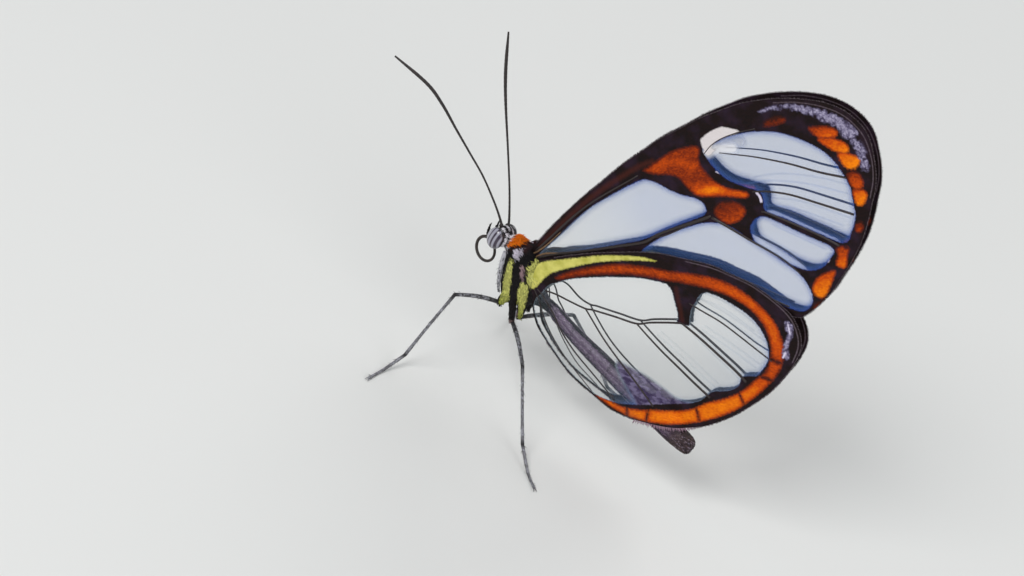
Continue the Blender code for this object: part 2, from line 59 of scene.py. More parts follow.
def smoothLine(points, count, closed=False):
    # Catmull-Rom curve through the points, sampled at even arc length
    given = np.asarray(points, float)
    if closed:
        ends = np.vstack([given[-1], given, given[0], given[1]])
    else:
        ends = np.vstack([2 * given[0] - given[1], given, 2 * given[-1] - given[-2]])
    perRun = 16
    t = np.linspace(0, 1, perRun, endpoint=False)[None, :, None]
    a, b, c, d = (ends[i:len(ends) - 3 + i, None] for i in range(4))
    fine = 0.5 * (2 * b + (c - a) * t + (2 * a - 5 * b + 4 * c - d) * t**2 + (3 * b - a - 3 * c + d) * t**3)
    fine = np.vstack([fine.reshape(-1, given.shape[1]), given[:1] if closed else given[-1:]])
    along = np.concatenate([[0], np.cumsum(np.linalg.norm(np.diff(fine, axis=0), axis=1))])
    places = np.linspace(0, along[-1], count, endpoint=not closed)
    return np.column_stack([np.interp(places, along, column) for column in fine.T])


def lineDistance(points, line):
    # distance from each point to the nearest run of the line: project on each run, clamp, take the least
    starts, runs = line[:-1], np.diff(line, axis=0)
    squared = np.maximum((runs**2).sum(axis=1), 1e-12)
    nearest = np.full(len(points), 1e9)
    for first in range(0, len(points), batch):
        offset = points[first:first + batch, None] - starts
        share = np.clip((offset * runs).sum(axis=2) / squared, 0, 1)
        nearest[first:first + batch] = np.linalg.norm(offset - share[..., None] * runs, axis=2).min(axis=1)
    return nearest


def insideBy(points, loop):
    # how far a point lies inside a closed loop, negative outside: crossing count for the sign
    ring = np.vstack([loop, loop[:1]])
    y0, y1, x0, x1 = ring[:-1, 1], ring[1:, 1], ring[:-1, 0], ring[1:, 0]
    within = np.zeros(len(points), bool)
    for first in range(0, len(points), batch):
        x, y = points[first:first + batch, :1], points[first:first + batch, 1:2]
        spans = (y0 > y) != (y1 > y)
        crossing = x0 + (y - y0) * (x1 - x0) / np.where(y1 == y0, 1e-9, y1 - y0)
        within[first:first + batch] = (spans & (crossing > x)).sum(axis=1) % 2 == 1
    return np.where(within, 1.0, -1.0) * lineDistance(points, ring)


def softStep(value):
    # smooth rise from 0 to 1 as the value goes from 0 to 1: 3 t^2 - 2 t^3
    held = np.clip(value, 0, 1)
    return held * held * (3 - 2 * held)


def unit(vectors):
    # each vector divided by its own length
    return vectors / np.maximum(np.linalg.norm(vectors, axis=-1, keepdims=True), 1e-12)


def ringFaces(count, sides):
    # quads between neighbouring rings of equal count
    ring, side = np.meshgrid(np.arange(count - 1), np.arange(sides), indexing="ij")
    a = ring * sides + side
    b = ring * sides + (side + 1) % sides
    return np.stack([a, b, b + sides, a + sides], axis=-1).reshape(-1, 4)


def capFaces(start, sides, centre, back):
    # triangles from a ring to its middle point
    side = np.arange(sides)
    a, b = start + side, start + (side + 1) % sides
    middle = np.full(sides, centre)
    return np.column_stack([b, a, middle] if back else [a, b, middle])


def ringMesh(rings):
    # one closed skin from rings (count, sides, 3), with a point closing each end
    count, sides = rings.shape[:2]
    points = np.vstack([rings.reshape(-1, 3), rings[0].mean(axis=0), rings[-1].mean(axis=0)])
    first = capFaces(0, sides, count * sides, True)
    last = capFaces((count - 1) * sides, sides, count * sides + 1, False)
    return points, [ringFaces(count, sides), first, last]


def tubeRings(path, radii, sides):
    # rings square to the path, each turned as little as possible from the one before
    along = unit(np.gradient(path, axis=0))
    across = np.zeros_like(path)
    held = np.cross(along[0], [0.3, 0.9, 0.2])
    for i, way in enumerate(along):
        held = held - way * (held @ way)
        held = held / np.linalg.norm(held)
        across[i] = held
    other = np.cross(along, across)
    turn = np.linspace(0, 2 * math.pi, sides, endpoint=False)
    ring = across[:, None] * np.cos(turn)[None, :, None] + other[:, None] * np.sin(turn)[None, :, None]
    return path[:, None] + np.asarray(radii)[:, None, None] * ring


def joined(ringSets):
    # several closed parts in one list of points and faces
    points, faceSets, start = [], [], 0
    for rings in ringSets:
        corners, sets = ringMesh(rings)
        points.append(corners)
        faceSets += [faces + start for faces in sets]
        start += len(corners)
    return np.vstack(points), faceSets


def paint(colour, mask, rgb):
    # lay rgb over colour by mask
    return colour + np.clip(mask, 0, 1)[:, None] * (np.asarray(rgb) - colour)


def makeMesh(name, points, faceSets, smooth=True, placed=True):
    # points in millimetres of the layout, placed in the frame unless told not to;
    # each face set is an array of quads or triangles
    mesh = bpy.data.meshes.new(name)
    places = np.asarray(points, float)
    places = (places + shift) * millimetre if placed else places
    mesh.vertices.add(len(places))
    mesh.vertices.foreach_set("co", places.astype(np.float32).ravel())
    corners = np.concatenate([faces.ravel() for faces in faceSets])
    sizes = np.concatenate([np.full(len(faces), faces.shape[1]) for faces in faceSets])
    starts = np.concatenate([[0], np.cumsum(sizes)[:-1]])
    mesh.loops.add(len(corners))
    mesh.loops.foreach_set("vertex_index", corners.astype(np.int32))
    mesh.polygons.add(len(sizes))
    mesh.polygons.foreach_set("loop_start", starts.astype(np.int32))
    mesh.update(calc_edges=True)
    mesh.validate()
    if smooth:
        mesh.shade_smooth()
    return mesh


def addValues(mesh, values):
    # numbers for the material at each point: one, three or four to a point
    kinds = {1: ("FLOAT", "value"), 3: ("FLOAT_VECTOR", "vector"), 4: ("FLOAT_COLOR", "color")}
    for name, numbers in values.items():
        numbers = np.asarray(numbers, np.float32)
        kind, field = kinds[1 if numbers.ndim == 1 else numbers.shape[1]]
        layer = mesh.attributes.new(name, kind, "POINT")
        layer.data.foreach_set(field, numbers.ravel())


def addTint(mesh, tint, each=1):
    # the colour of each point, or of each run of points that make up a tuft
    opaque = np.column_stack([tint, np.ones(len(tint))])
    addValues(mesh, dict(tint=np.repeat(opaque, each, axis=0)))


def addMap(mesh, places):
    # the bake map, given at each point
    corners = np.zeros(len(mesh.loops), np.int32)
    mesh.loops.foreach_get("vertex_index", corners)
    mesh.uv_layers.new(name="OFBake").data.foreach_set("uv", places[corners].astype(np.float32).ravel())


def addPiece(name, mesh, material, stands=()):
    piece = bpy.data.objects.new(name, mesh)
    bpy.context.scene.collection.objects.link(piece)
    mesh.materials.clear()
    mesh.materials.append(material)
    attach(piece, "root")
    if stands:
        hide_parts(*stands)
    return piece


# small tools for materials

class Shader:
    # a material's nodes, with short calls for the kinds used below
    def __init__(self, name):
        self.material = bpy.data.materials.new(name)
        self.material.use_nodes = True
        self.tree = self.material.node_tree
        self.surface = self.tree.nodes["Principled BSDF"]

    def add(self, kind, **settings):
        node = self.tree.nodes.new(kind)
        for key, value in settings.items():
            setattr(node, key, value)
        return node

    def feed(self, socket, value):
        if isinstance(value, bpy.types.NodeSocket):
            self.tree.links.new(value, socket)
        elif hasattr(value, "__len__") and socket.type == "RGBA":
            socket.default_value = (*value[:3], 1)
        else:
            socket.default_value = value

    def value(self, name):
        return self.add("ShaderNodeAttribute", attribute_name=name).outputs["Fac"]

    def vector(self, name):
        return self.add("ShaderNodeAttribute", attribute_name=name).outputs["Vector"]

    def tint(self, name):
        return self.add("ShaderNodeAttribute", attribute_name=name).outputs["Color"]

    def place(self):
        # object coordinates in millimetres
        out = self.add("ShaderNodeTexCoord").outputs["Object"]
        return self.scaled(out, (1 / millimetre,) * 3)

    def scaled(self, vector, scale):
        node = self.add("ShaderNodeVectorMath", operation="MULTIPLY")
        self.feed(node.inputs[0], vector)
        node.inputs[1].default_value = scale
        return node.outputs[0]

    def maths(self, operation, a, b=0.0, c=0.0):
        node = self.add("ShaderNodeMath", operation=operation)
        for socket, value in zip(node.inputs, (a, b, c)):
            self.feed(socket, value)
        return node.outputs[0]

    def noise(self, vector, scale, detail=2.0, roughness=0.5):
        node = self.add("ShaderNodeTexNoise")
        self.feed(node.inputs["Vector"], vector)
        for key, value in (("Scale", scale), ("Detail", detail), ("Roughness", roughness)):
            node.inputs[key].default_value = value
        return node.outputs["Fac"]

    def cells(self, vector, scale, output="Distance"):
        node = self.add("ShaderNodeTexVoronoi")
        self.feed(node.inputs["Vector"], vector)
        node.inputs["Scale"].default_value = scale
        return node.outputs[output]

    def mix(self, share, a, b):
        node = self.add("ShaderNodeMix", data_type="RGBA")
        self.feed(node.inputs[0], share)
        self.feed(node.inputs[6], a)
        self.feed(node.inputs[7], b)
        return node.outputs[2]

    def between(self, value, low, high, to0=0.0, to1=1.0):
        # straight rise of value from low to high, held at both ends
        node = self.add("ShaderNodeMapRange")
        for socket, number in zip(node.inputs[:5], (value, low, high, to0, to1)):
            self.feed(socket, number)
        return node.outputs[0]

    def ramp(self, value, stops):
        node = self.add("ShaderNodeValToRGB")
        self.feed(node.inputs[0], value)
        band = node.color_ramp
        while len(band.elements) < len(stops):
            band.elements.new(0.5)
        for element, (place, rgb) in zip(band.elements, stops):
            element.position = place
            element.color = (*rgb, 1)
        return node.outputs[0]

    def bump(self, height, strength, distance):
        node = self.add("ShaderNodeBump")
        self.feed(node.inputs["Height"], height)
        node.inputs["Strength"].default_value = strength
        node.inputs["Distance"].default_value = distance
        self.tree.links.new(node.outputs[0], self.surface.inputs["Normal"])

    def set(self, **sockets):
        names = dict(colour="Base Color", roughness="Roughness", alpha="Alpha", coat="Coat Weight",
                     specular="Specular IOR Level", coatRoughness="Coat Roughness")
        for key, value in sockets.items():
            self.feed(self.surface.inputs[names[key]], value)


# wings

# A wing is drawn flat, u from the hinge to the tip and v to the front margin, where it appears at the
# side distance called seenAt. lean says how far a place moves in (u, v) for each millimetre further out.
foreWing = dict(
    hinge=(4.0, 10.2), angle=math.radians(54), seenAt=0.55, lean=(0.691, 0.225),
    columns=300, rows=150, thick=0.04,
    outline=[
        (-0.6, -0.1), (0.0, 0.25), (0.9, 0.7), (2.0, 1.2), (3.0, 1.6), (4.9, 2.3), (6.8, 2.9),
        (8.7, 3.5), (10.4, 3.9), (12.1, 4.3), (13.8, 4.5), (15.3, 4.7), (16.9, 4.75), (18.3, 4.75),
        (19.7, 4.55), (21.0, 4.25), (22.3, 3.8), (23.5, 3.25), (24.5, 2.5), (25.1, 1.7), (25.4, 1.0),
        (25.5, 0.2), (25.3, -0.8), (25.0, -1.8), (24.5, -2.8), (23.8, -3.7), (23.1, -4.6),
        (22.2, -5.6), (21.4, -6.3), (20.5, -7.0), (19.6, -7.6), (18.7, -8.2), (17.6, -8.7),
        (16.6, -9.05), (15.8, -9.05), (14.5, -8.1), (12.6, -6.5), (10.4, -5.0), (8.0, -3.75),
        (5.0, -2.45), (2.4, -1.4), (0.6, -0.8), (-0.3, -0.5),
    ],
    clear={
        "cell": [
            (0.5, -0.15), (1.5, 0.25), (2.5, 0.6), (3.5, 1.0), (5.3, 1.6), (7.1, 1.95), (8.8, 2.2),
            (9.8, 2.25), (10.4, 1.95), (10.8, 1.6), (11.3, 1.05), (12.0, 0.5), (12.8, 0.0),
            (13.1, -0.5), (12.9, -1.05), (12.0, -1.15), (10.4, -1.2), (8.0, -1.35), (6.2, -1.15),
            (3.3, -0.75), (1.8, -0.5), (0.6, -0.3),
        ],
        "hind": [
            (6.7, -2.45), (7.5, -2.05), (8.3, -1.78), (9.9, -1.52), (11.5, -1.5), (12.4, -1.55),
            (13.3, -1.8), (14.0, -2.2), (14.5, -2.75), (15.0, -3.45), (15.7, -4.35), (16.4, -5.3),
            (17.0, -6.1), (17.3, -6.7), (17.45, -7.4), (17.4, -8.15), (17.0, -8.65), (16.3, -8.8),
            (15.5, -8.3), (14.0, -6.95), (12.0, -5.4), (9.5, -3.9), (7.6, -3.0),
        ],
        "apex": [
            (14.7, 2.9), (14.65, 2.3), (14.8, 1.6), (15.05, 1.0), (15.45, 0.45), (16.0, 0.0),
            (16.6, -0.45), (17.1, -0.85), (17.05, -1.4), (16.85, -1.9), (17.1, -2.3), (17.8, -2.8),
            (18.7, -3.6), (19.6, -4.4), (20.4, -5.1), (20.9, -5.45), (21.35, -5.4), (21.65, -5.05),
            (22.1, -4.6), (22.5, -4.0), (22.75, -3.1), (22.95, -2.2), (22.85, -1.2), (22.65, -0.4),
            (22.3, 0.3), (21.7, 1.0), (20.9, 1.7), (20.0, 2.3), (19.0, 2.7), (18.0, 2.95),
            (17.0, 3.05), (15.8, 3.1),
        ],
        "capsule": [
            (15.35, -2.9), (15.7, -2.5), (16.2, -2.3), (16.7, -2.4), (17.5, -3.1), (18.4, -3.95),
            (19.4, -4.85), (20.0, -5.4), (20.1, -5.8), (19.7, -6.1), (19.1, -6.45), (18.4, -6.55),
            (17.7, -6.35), (17.0, -5.8), (16.4, -5.2), (15.8, -4.5), (15.3, -3.75),
        ],
    },
    orange=[
        ([(10.1, 2.75), (10.7, 2.9), (11.4, 3.1), (12.3, 3.3), (13.15, 3.35), (14.0, 3.25),
          (14.4, 3.1), (14.35, 2.75), (14.1, 2.4), (14.05, 1.85), (14.2, 1.35), (14.4, 0.85),
          (14.85, 0.25), (15.4, -0.15), (16.0, -0.45), (16.3, -0.75), (15.9, -0.86), (15.0, -0.52),
          (14.25, -0.26), (13.25, 0.03), (12.7, 0.45), (12.45, 1.0), (12.25, 1.6), (11.7, 2.0),
          (10.85, 2.3)], None),
        ([(13.75, -0.8), (14.3, -0.65), (15.05, -0.85), (15.55, -1.3), (15.55, -1.75), (14.9, -2.1),
          (14.15, -2.1), (13.65, -1.65), (13.5, -1.2)], 0.3),
        ([(22.0, 2.0), (22.5, 1.95), (23.15, 1.75), (23.7, 1.3), (23.5, 0.98), (22.9, 1.05),
          (22.4, 1.25), (22.1, 1.6)], 0.52),
        ([(22.35, 1.2), (22.95, 1.05), (23.5, 0.75), (23.9, 0.35), (23.95, -0.05), (23.65, -0.2),
          (23.05, 0.1), (22.6, 0.6), (22.3, 1.0)], 0.68),
        ([(23.15, -0.05), (23.75, -0.25), (24.3, -0.7), (24.3, -0.97), (23.85, -1.25), (23.3, -1.1),
          (23.1, -0.6)], 0.85),
        ([(23.2, -1.35), (23.8, -1.55), (23.95, -1.95), (23.8, -2.45), (23.25, -2.5), (23.05, -1.9)], 0.42),
        ([(23.05, -2.55), (23.65, -2.65), (23.8, -3.05), (23.3, -3.55), (22.9, -3.45), (22.9, -3.0)], 0.75),
        ([(22.2, -4.55), (22.75, -4.5), (22.55, -5.0), (22.1, -5.05)], 0.25),
        ([(20.4, -5.6), (21.15, -5.8), (20.8, -6.3), (20.35, -6.95), (19.85, -6.65), (20.2, -6.15)], 0.55),
        ([(18.05, -7.2), (18.7, -6.95), (19.6, -6.95), (19.25, -7.4), (18.3, -8.25), (17.8, -8.25),
          (17.6, -7.75)], 0.72),
        ([(17.2, -8.65), (18.05, -8.5), (17.7, -8.9), (17.1, -9.15)], 0.16),
        ([(19.2, 3.0), (19.55, 3.3), (20.4, 3.3), (20.85, 3.0), (20.5, 2.8), (19.7, 2.85)], 0.14),
    ],
    streak=([(0.8, 0.3), (3.0, 1.25), (6.0, 2.3), (9.5, 3.05), (11.0, 3.15)], 0.16),
    white=[[(14.76, 3.4), (14.86, 3.5), (15.66, 3.74), (16.5, 3.78), (16.66, 3.72), (17.4, 3.3),
            (17.5, 3.12), (16.77, 3.1), (15.6, 2.98), (15.05, 2.51), (14.85, 2.5), (14.67, 2.8)],
           [(14.6, 2.7), (15.0, 2.72), (15.5, 2.6), (15.2, 2.45), (14.8, 2.35)]],
    haze=([(14.9, 2.55), (15.6, 2.55), (16.6, 2.3)], 0.55),
    lilac=[[(20.9, 3.87), (21.8, 3.63), (22.83, 3.1), (23.67, 2.6), (24.47, 1.8), (25.0, 0.75),
            (24.57, 0.5), (23.95, 0.7), (23.82, 1.4), (23.1, 2.05), (22.6, 2.62), (21.35, 3.4)],
           [(24.25, 0.5), (24.85, 0.3), (24.97, -0.35), (24.82, -0.85), (24.35, -0.8), (24.3, -0.1)],
           [(24.4, -0.9), (24.85, -1.0), (24.6, -1.65), (24.15, -1.5)],
           [(19.4, 3.98), (20.2, 4.0), (20.9, 3.88), (20.9, 3.6), (20.2, 3.76), (19.4, 3.84)]],
    flecks=[([(16.83, -0.8), (16.93, -1.1), (16.88, -1.42)], 0.085), ([(11.0, 1.08), (11.5, 0.75)], 0.05),
            ([(14.85, 1.25), (15.0, 1.1)], 0.05), ([(19.4, -6.3), (19.55, -6.2)], 0.05)],
    veins=[
        ([(0.3, 0.1), (5.0, 1.75), (9.6, 2.6)], 0.09, 0.05),
        ([(14.6, 2.55), (15.3, 2.9), (16.2, 3.1), (17.5, 3.12), (18.6, 3.0)], 0.035, 0.045),
        ([(0.2, -0.3), (1.8, -0.55), (3.3, -0.85), (6.2, -1.3), (8.0, -1.55), (9.3, -1.35),
          (12.4, -1.3), (13.2, -1.3)], 0.11, 0.09),
        ([(8.0, -1.55), (8.6, -1.45), (9.6, -1.55), (11.5, -1.4), (13.0, -1.35)], 0.05, 0.06),
        ([(15.6, 2.3), (16.4, 1.95), (17.85, 1.3), (19.75, 0.27), (21.4, -0.8),
          (22.95, -1.65)], 0.035, 0.08),
        ([(16.6, -0.66), (17.5, -0.92), (18.9, -1.57), (20.5, -2.65), (22.4, -3.98)], 0.06, 0.08),
        ([(16.6, -2.02), (16.85, -2.15), (18.05, -3.15), (19.6, -4.52), (20.6, -5.55)], 0.07, 0.08),
        ([(13.2, -1.4), (14.0, -2.3), (15.1, -3.6), (16.5, -5.2), (17.3, -6.5)], 0.1, 0.05),
        ([(0.2, -0.6), (3.0, -1.15), (6.0, -2.1), (9.0, -3.4), (12.0, -5.2), (15.6, -8.3)], 0.08, 0.06),
    ],
    seams=[[(20.9, -5.7), (21.8, -6.4)]],
    folds=[[(16.5, -0.05), (18.2, -0.4), (20.3, -1.25), (22.6, -2.6)],
           [(17.1, -1.7), (18.9, -2.55), (21.4, -4.4)],
           [(16.9, -3.0), (18.3, -4.3), (19.6, -5.5)]],
    pale=([(20.5, 4.15), (22.0, 3.7), (23.4, 3.0), (24.5, 2.1), (25.1, 1.0), (25.25, 0.0),
           (25.05, -1.2), (24.6, -2.3), (23.9, -3.3)], 0.03),
    yellow=[], bar=[], shade=[],
    # how bright the orange bar is: a base, and runs (path, reach, gain) and a spot that add to it
    tones=dict(base=0.33, runs=[([(13.1, 0.45), (14.2, 0.2), (15.2, -0.3), (16.1, -0.7)], 0.34, 0.30),
                                ([(11.0, 2.75), (12.6, 2.6), (13.6, 2.0)], 0.3, 0.16)],
               spot=(14.0, 0.25), spotReach=(0.75, 0.32), spotGain=0.30),
    # how much orange dims at its rim and over what width, and how blue and dense the membrane is by u:
    # partly its own blue tint, partly painted shade of the darker ground seen through it
    rimTone=(0.12, 0.16), lilacGain=1.0, tintAndShade=[(1, 0.3), (6, 0.7), (9, 1.0)],
)

hindWing = dict(
    hinge=(5.5, 8.8), angle=math.radians(21), seenAt=0.6, lean=(0.457, 0.565),
    columns=280, rows=170, thick=0.04,
    outline=[
        (-0.75, -0.9), (-0.75, 0.0), (-0.6, 0.9), (-0.3, 1.4), (1.0, 2.15), (2.4, 2.75), (3.7, 3.25),
        (5.1, 3.7), (6.4, 4.1), (7.8, 4.4), (9.1, 4.5), (10.5, 4.6), (11.5, 4.6), (12.6, 4.4),
        (13.9, 4.2), (15.0, 3.8), (16.1, 3.3), (16.8, 2.9), (17.3, 2.3), (17.65, 1.6), (17.75, 0.8),
        (17.6, 0.1), (17.3, -0.7), (16.9, -1.5), (16.4, -2.4), (15.8, -3.2), (14.9, -4.2),
        (14.0, -5.1), (13.0, -5.9), (11.9, -6.6), (10.7, -7.1), (9.6, -7.4), (8.3, -7.55), (7.0, -7.6),
        (5.6, -7.4), (4.7, -7.0), (4.0, -6.65), (3.2, -6.25), (2.4, -5.75), (1.8, -5.2), (1.3, -4.7),
        (0.7, -4.1), (0.2, -3.55), (-0.2, -3.0), (-0.5, -2.2), (-0.65, -1.5),
    ],
    clear={
        "main": [
            (0.5, 0.05), (0.9, 0.3), (1.6, 0.72), (2.5, 1.12), (3.9, 1.62), (5.2, 2.0), (6.3, 2.3),
            (7.3, 2.45), (8.3, 2.5), (9.5, 2.6), (10.4, 2.65), (11.1, 2.72), (12.0, 2.68),
            (12.9, 2.45), (13.8, 2.15), (14.6, 1.7), (15.15, 1.15), (15.55, 0.5), (15.75, -0.2),
            (15.72, -0.8), (15.45, -1.45), (15.1, -1.95), (14.6, -2.1), (14.15, -2.35), (14.05, -2.9),
            (13.6, -3.4), (13.0, -3.7), (12.4, -3.9), (12.0, -4.3), (11.6, -4.8), (11.0, -5.2),
            (10.2, -5.5), (9.2, -5.85), (8.2, -6.2), (7.2, -6.5), (6.2, -6.75), (5.2, -6.8),
            (4.4, -6.68), (3.6, -6.32), (2.7, -5.82), (1.95, -5.22), (1.3, -4.58), (0.75, -4.0),
            (0.3, -3.45), (-0.1, -2.85), (-0.42, -2.1), (-0.48, -1.6), (-0.3, -1.1), (-0.1, -0.85),
            (0.15, -0.4),
        ],
    },
    bar=[[(8.4, 2.75), (8.8, 2.2), (9.05, 1.6), (9.3, 1.0), (9.45, 0.45), (9.45, 0.08), (10.25, 0.12),
          (10.25, 0.5), (10.3, 1.2), (10.5, 1.75), (10.6, 2.1), (10.8, 2.5), (11.1, 2.85)]],
    orange=[
        ([(0.8, 0.62), (1.67, 1.3), (2.95, 2.0), (4.0, 2.48), (4.9, 2.84), (6.0, 3.1), (6.9, 3.26),
          (8.4, 3.42), (9.4, 3.6), (10.6, 3.78), (11.6, 3.85), (12.5, 3.78), (13.4, 3.55), (14.2, 3.2),
          (15.0, 2.75), (15.6, 2.3), (16.1, 1.75), (16.45, 1.1), (16.65, 0.4), (16.7, -0.3),
          (16.6, -1.1), (16.1, -2.1), (15.35, -3.2), (14.6, -4.1), (13.8, -4.9), (12.8, -5.65),
          (11.8, -6.25), (10.5, -6.85), (9.2, -7.25), (7.8, -7.45), (6.8, -7.45), (5.8, -7.25),
          (4.9, -6.95), (4.4, -6.65), (5.2, -6.8), (6.0, -6.95), (6.8, -6.95), (7.6, -6.8),
          (8.4, -6.55), (9.2, -6.35), (10.2, -6.05), (11.0, -5.7), (11.6, -5.25), (12.1, -4.85),
          (12.9, -4.4), (13.5, -4.0), (14.1, -3.5), (14.6, -2.95), (15.15, -2.2), (15.65, -1.6),
          (15.85, -0.9), (15.9, -0.1), (15.75, 0.6), (15.4, 1.35), (14.9, 1.95), (14.2, 2.45),
          (13.3, 2.8), (12.2, 3.0), (11.0, 3.02), (9.8, 2.92), (8.4, 2.75), (7.0, 2.6), (5.8, 2.4),
          (4.6, 2.05), (3.4, 1.65), (2.2, 1.15), (1.2, 0.65)], None),
    ],
    streak=([(9.1, 2.4), (9.35, 1.6), (9.6, 0.9), (9.75, 0.3)], 0.12),
    yellow=[[(-0.75, -0.6), (-0.35, -0.25), (0.1, 0.45), (0.6, 0.95), (1.5, 1.5), (2.4, 2.0),
             (3.6, 2.6), (4.87, 3.08), (6.29, 3.52), (7.6, 3.85), (6.8, 3.86), (5.9, 3.7), (4.9, 3.45),
             (3.7, 3.08), (2.4, 2.55), (1.0, 1.98), (0.0, 1.55), (-0.5, 1.2), (-0.8, 0.6)]],
    lilac=[[(16.5, 2.3), (17.0, 2.3), (17.15, 1.5), (16.95, 0.7), (17.15, -0.1), (16.65, -0.25),
            (16.6, 0.55), (16.75, 1.4)]],
    flecks=[([(16.75, 2.2), (16.95, 1.6)], 0.05), ([(16.8, 0.2), (16.7, -0.15)], 0.06)],
    # painted purple shade beside the abdomen
    shade=[[(5.95, -3.87), (7.6, -4.24), (9.0, -4.77), (10.0, -5.2), (11.2, -5.3), (10.2, -5.9),
            (9.15, -6.3), (7.7, -6.85), (6.75, -5.9), (5.75, -4.6), (5.6, -3.8)]],
    folds=[[(10.56, 1.79), (12.31, 1.38), (13.94, 0.81), (15.5, 0.0)],
           [(11.14, 0.1), (13.19, -0.65), (15.0, -1.4)],
           [(10.67, -0.48), (12.66, -1.7), (13.9, -2.45)], [(8.2, -1.2), (10.2, -2.3), (12.4, -3.6)],
           [(10.6, 2.25), (12.6, 1.9), (14.6, 1.1)]],
    pale=([(9.5, 4.42), (11.3, 4.48), (12.6, 4.32), (14.0, 4.08), (15.2, 3.62), (16.3, 3.05),
           (17.05, 2.4), (17.5, 1.5), (17.58, 0.7), (17.35, -0.3)], 0.035),
    veins=[
        ([(0.2, -0.45), (1.0, -0.5), (2.0, -0.7), (3.1, -0.88), (3.6, -0.82), (5.2, -0.82),
          (6.7, -0.85), (7.6, -0.5), (8.9, -0.1), (9.75, 0.12)], 0.055, 0.07),
        ([(9.75, 0.12), (11.0, -0.5), (12.5, -1.35), (13.7, -2.05), (14.5, -2.6)], 0.07, 0.09),
        ([(10.1, 1.65), (10.8, 1.42), (12.3, 1.0), (13.6, 0.45), (15.0, -0.2), (16.0, -0.65)], 0.05, 0.05),
        ([(6.7, -0.85), (7.7, -1.6), (8.7, -2.3), (9.9, -3.05), (11.0, -3.75), (12.2, -4.45)], 0.05, 0.08),
        ([(3.1, -0.88), (3.7, -1.6), (4.5, -2.55), (5.5, -3.55), (6.6, -4.55), (7.6, -5.5), (8.4, -6.3)],
         0.05, 0.06),
        ([(-0.35, -0.5), (0.1, -0.9), (0.9, -1.9), (1.6, -3.0), (2.6, -4.1), (3.8, -5.1), (4.9, -6.0),
          (5.7, -6.7)], 0.05, 0.045),
        ([(-0.55, -0.6), (-0.2, -1.2), (0.2, -2.2), (0.9, -3.4), (1.9, -4.6), (3.1, -5.7),
          (4.1, -6.55)], 0.045, 0.03),
    ],
    seams=[[(11.3, -5.3), (11.75, -6.5)], [(14.0, -3.4), (14.7, -4.4)], [(15.5, -1.9), (16.5, -2.0)],
           [(8.1, -6.5), (8.0, -7.5)], [(6.6, -6.9), (6.7, -7.5)], [(15.7, -0.5), (16.8, -0.6)]],
    white=[], haze=None,
    rimTone=(0.2, 0.3), lilacGain=1.5, tintAndShade=[(0, 0.12), (10, 0.16), (14, 0.45), (16.5, 0.85)],
)

# the line along the abdomen's middle as (x, z), and its half width at each place
abdomenAxis = np.array([(6.3, 7.5), (7.5, 6.98), (9.0, 6.48), (11.0, 6.07), (13.0, 5.65), (15.0, 5.27),
                        (17.0, 4.9), (19.2, 4.55)])
abdomenHalf = np.array([0.5, 0.5, 0.55, 0.62, 0.68, 0.74, 0.76, 0.4])


def hingeTurn(flat, wing):
    # wing places (u, v) as places (x, z) of the insect
    cos, sin = math.cos(wing["angle"]), math.sin(wing["angle"])
    x = wing["hinge"][0] + cos * flat[:, 0] - sin * flat[:, 1]
    return np.column_stack([x, wing["hinge"][1] + sin * flat[:, 0] + cos * flat[:, 1]])


def foreSide(flat):
    # distance from the mid-plane: close at the overlap, bowed out towards the apex, in again at its margin
    u, v = flat.T
    bow = softStep((u - 12.5) / 6) * softStep((v + 11) / 7) * (1 - 0.6 * softStep((u - 21.5) / 4))
    return 0.36 + 0.12 * np.exp(-((np.maximum(u, 0) / 2.0) ** 2)) + 0.25 * bow


def hindSide(flat):
    # out over the forewing in front, in at the disc, and round the abdomen behind
    front = smoothLine(hindWing["outline"][1:21], 60)
    over = 0.27 * softStep(1 + (1.3 - lineDistance(flat, front)) / 2.2)
    base = 0.42 * np.exp(-((np.maximum(flat[:, 0], 0) / 2.6) ** 2)) * softStep((flat[:, 1] + 2.5) / 2.5)
    places = hingeTurn(flat, hindWing)
    past = lineDistance(places, abdomenAxis)
    around = np.interp(places[:, 0], abdomenAxis[:, 0], abdomenHalf) + 0.12 - 0.28
    gutter = around * softStep(1 + (0.45 - past) / 1.3)
    low = 0.16 * softStep((-flat[:, 1] - 4.5) / 2.5) * softStep((8 - flat[:, 0]) / 3)
    return 0.28 + np.maximum(over + base, np.maximum(gutter, low))


def wingPlaces(flat, wing, way, out=0.0):
    # a flat place as it stands on the insect; way is -1 for the left wing
    side = wing["sideOf"](flat)
    moved = flat + np.array(wing["lean"]) * (side - wing["seenAt"])[:, None]
    x, z = hingeTurn(moved, wing).T
    return np.column_stack([x, way * (side + out), z])


def foreTone(flat):
    # base plus gain * exp(-(distance / reach)^2) for each bright run and for the spot
    look = foreWing["tones"]
    tone = np.full(len(flat), look["base"])
    for path, reach, gain in look["runs"]:
        tone = tone + gain * np.exp(-((lineDistance(flat, smoothLine(path, 40)) / reach) ** 2))
    away = (flat - look["spot"]) / look["spotReach"]
    return tone + look["spotGain"] * np.exp(-(away**2).sum(axis=1))


def hindTone(flat):
    # brighter down the hind rim and out towards the tip, duller at the root and at the rim's inner end
    u, v = flat.T
    tone = 0.47 + 0.37 * softStep((-v - 0.2) / 4.5) - 0.08 * softStep((5 - u) / 4) * (v > 0)
    tone = tone + 0.16 * softStep((u - 9) / 6) * softStep((v + 2) / 3)
    return tone - 0.3 * softStep((6.0 - u) / 2) * (v < -5)


foreWing.update(sideOf=foreSide, toneOf=foreTone)
hindWing.update(sideOf=hindSide, toneOf=hindTone)


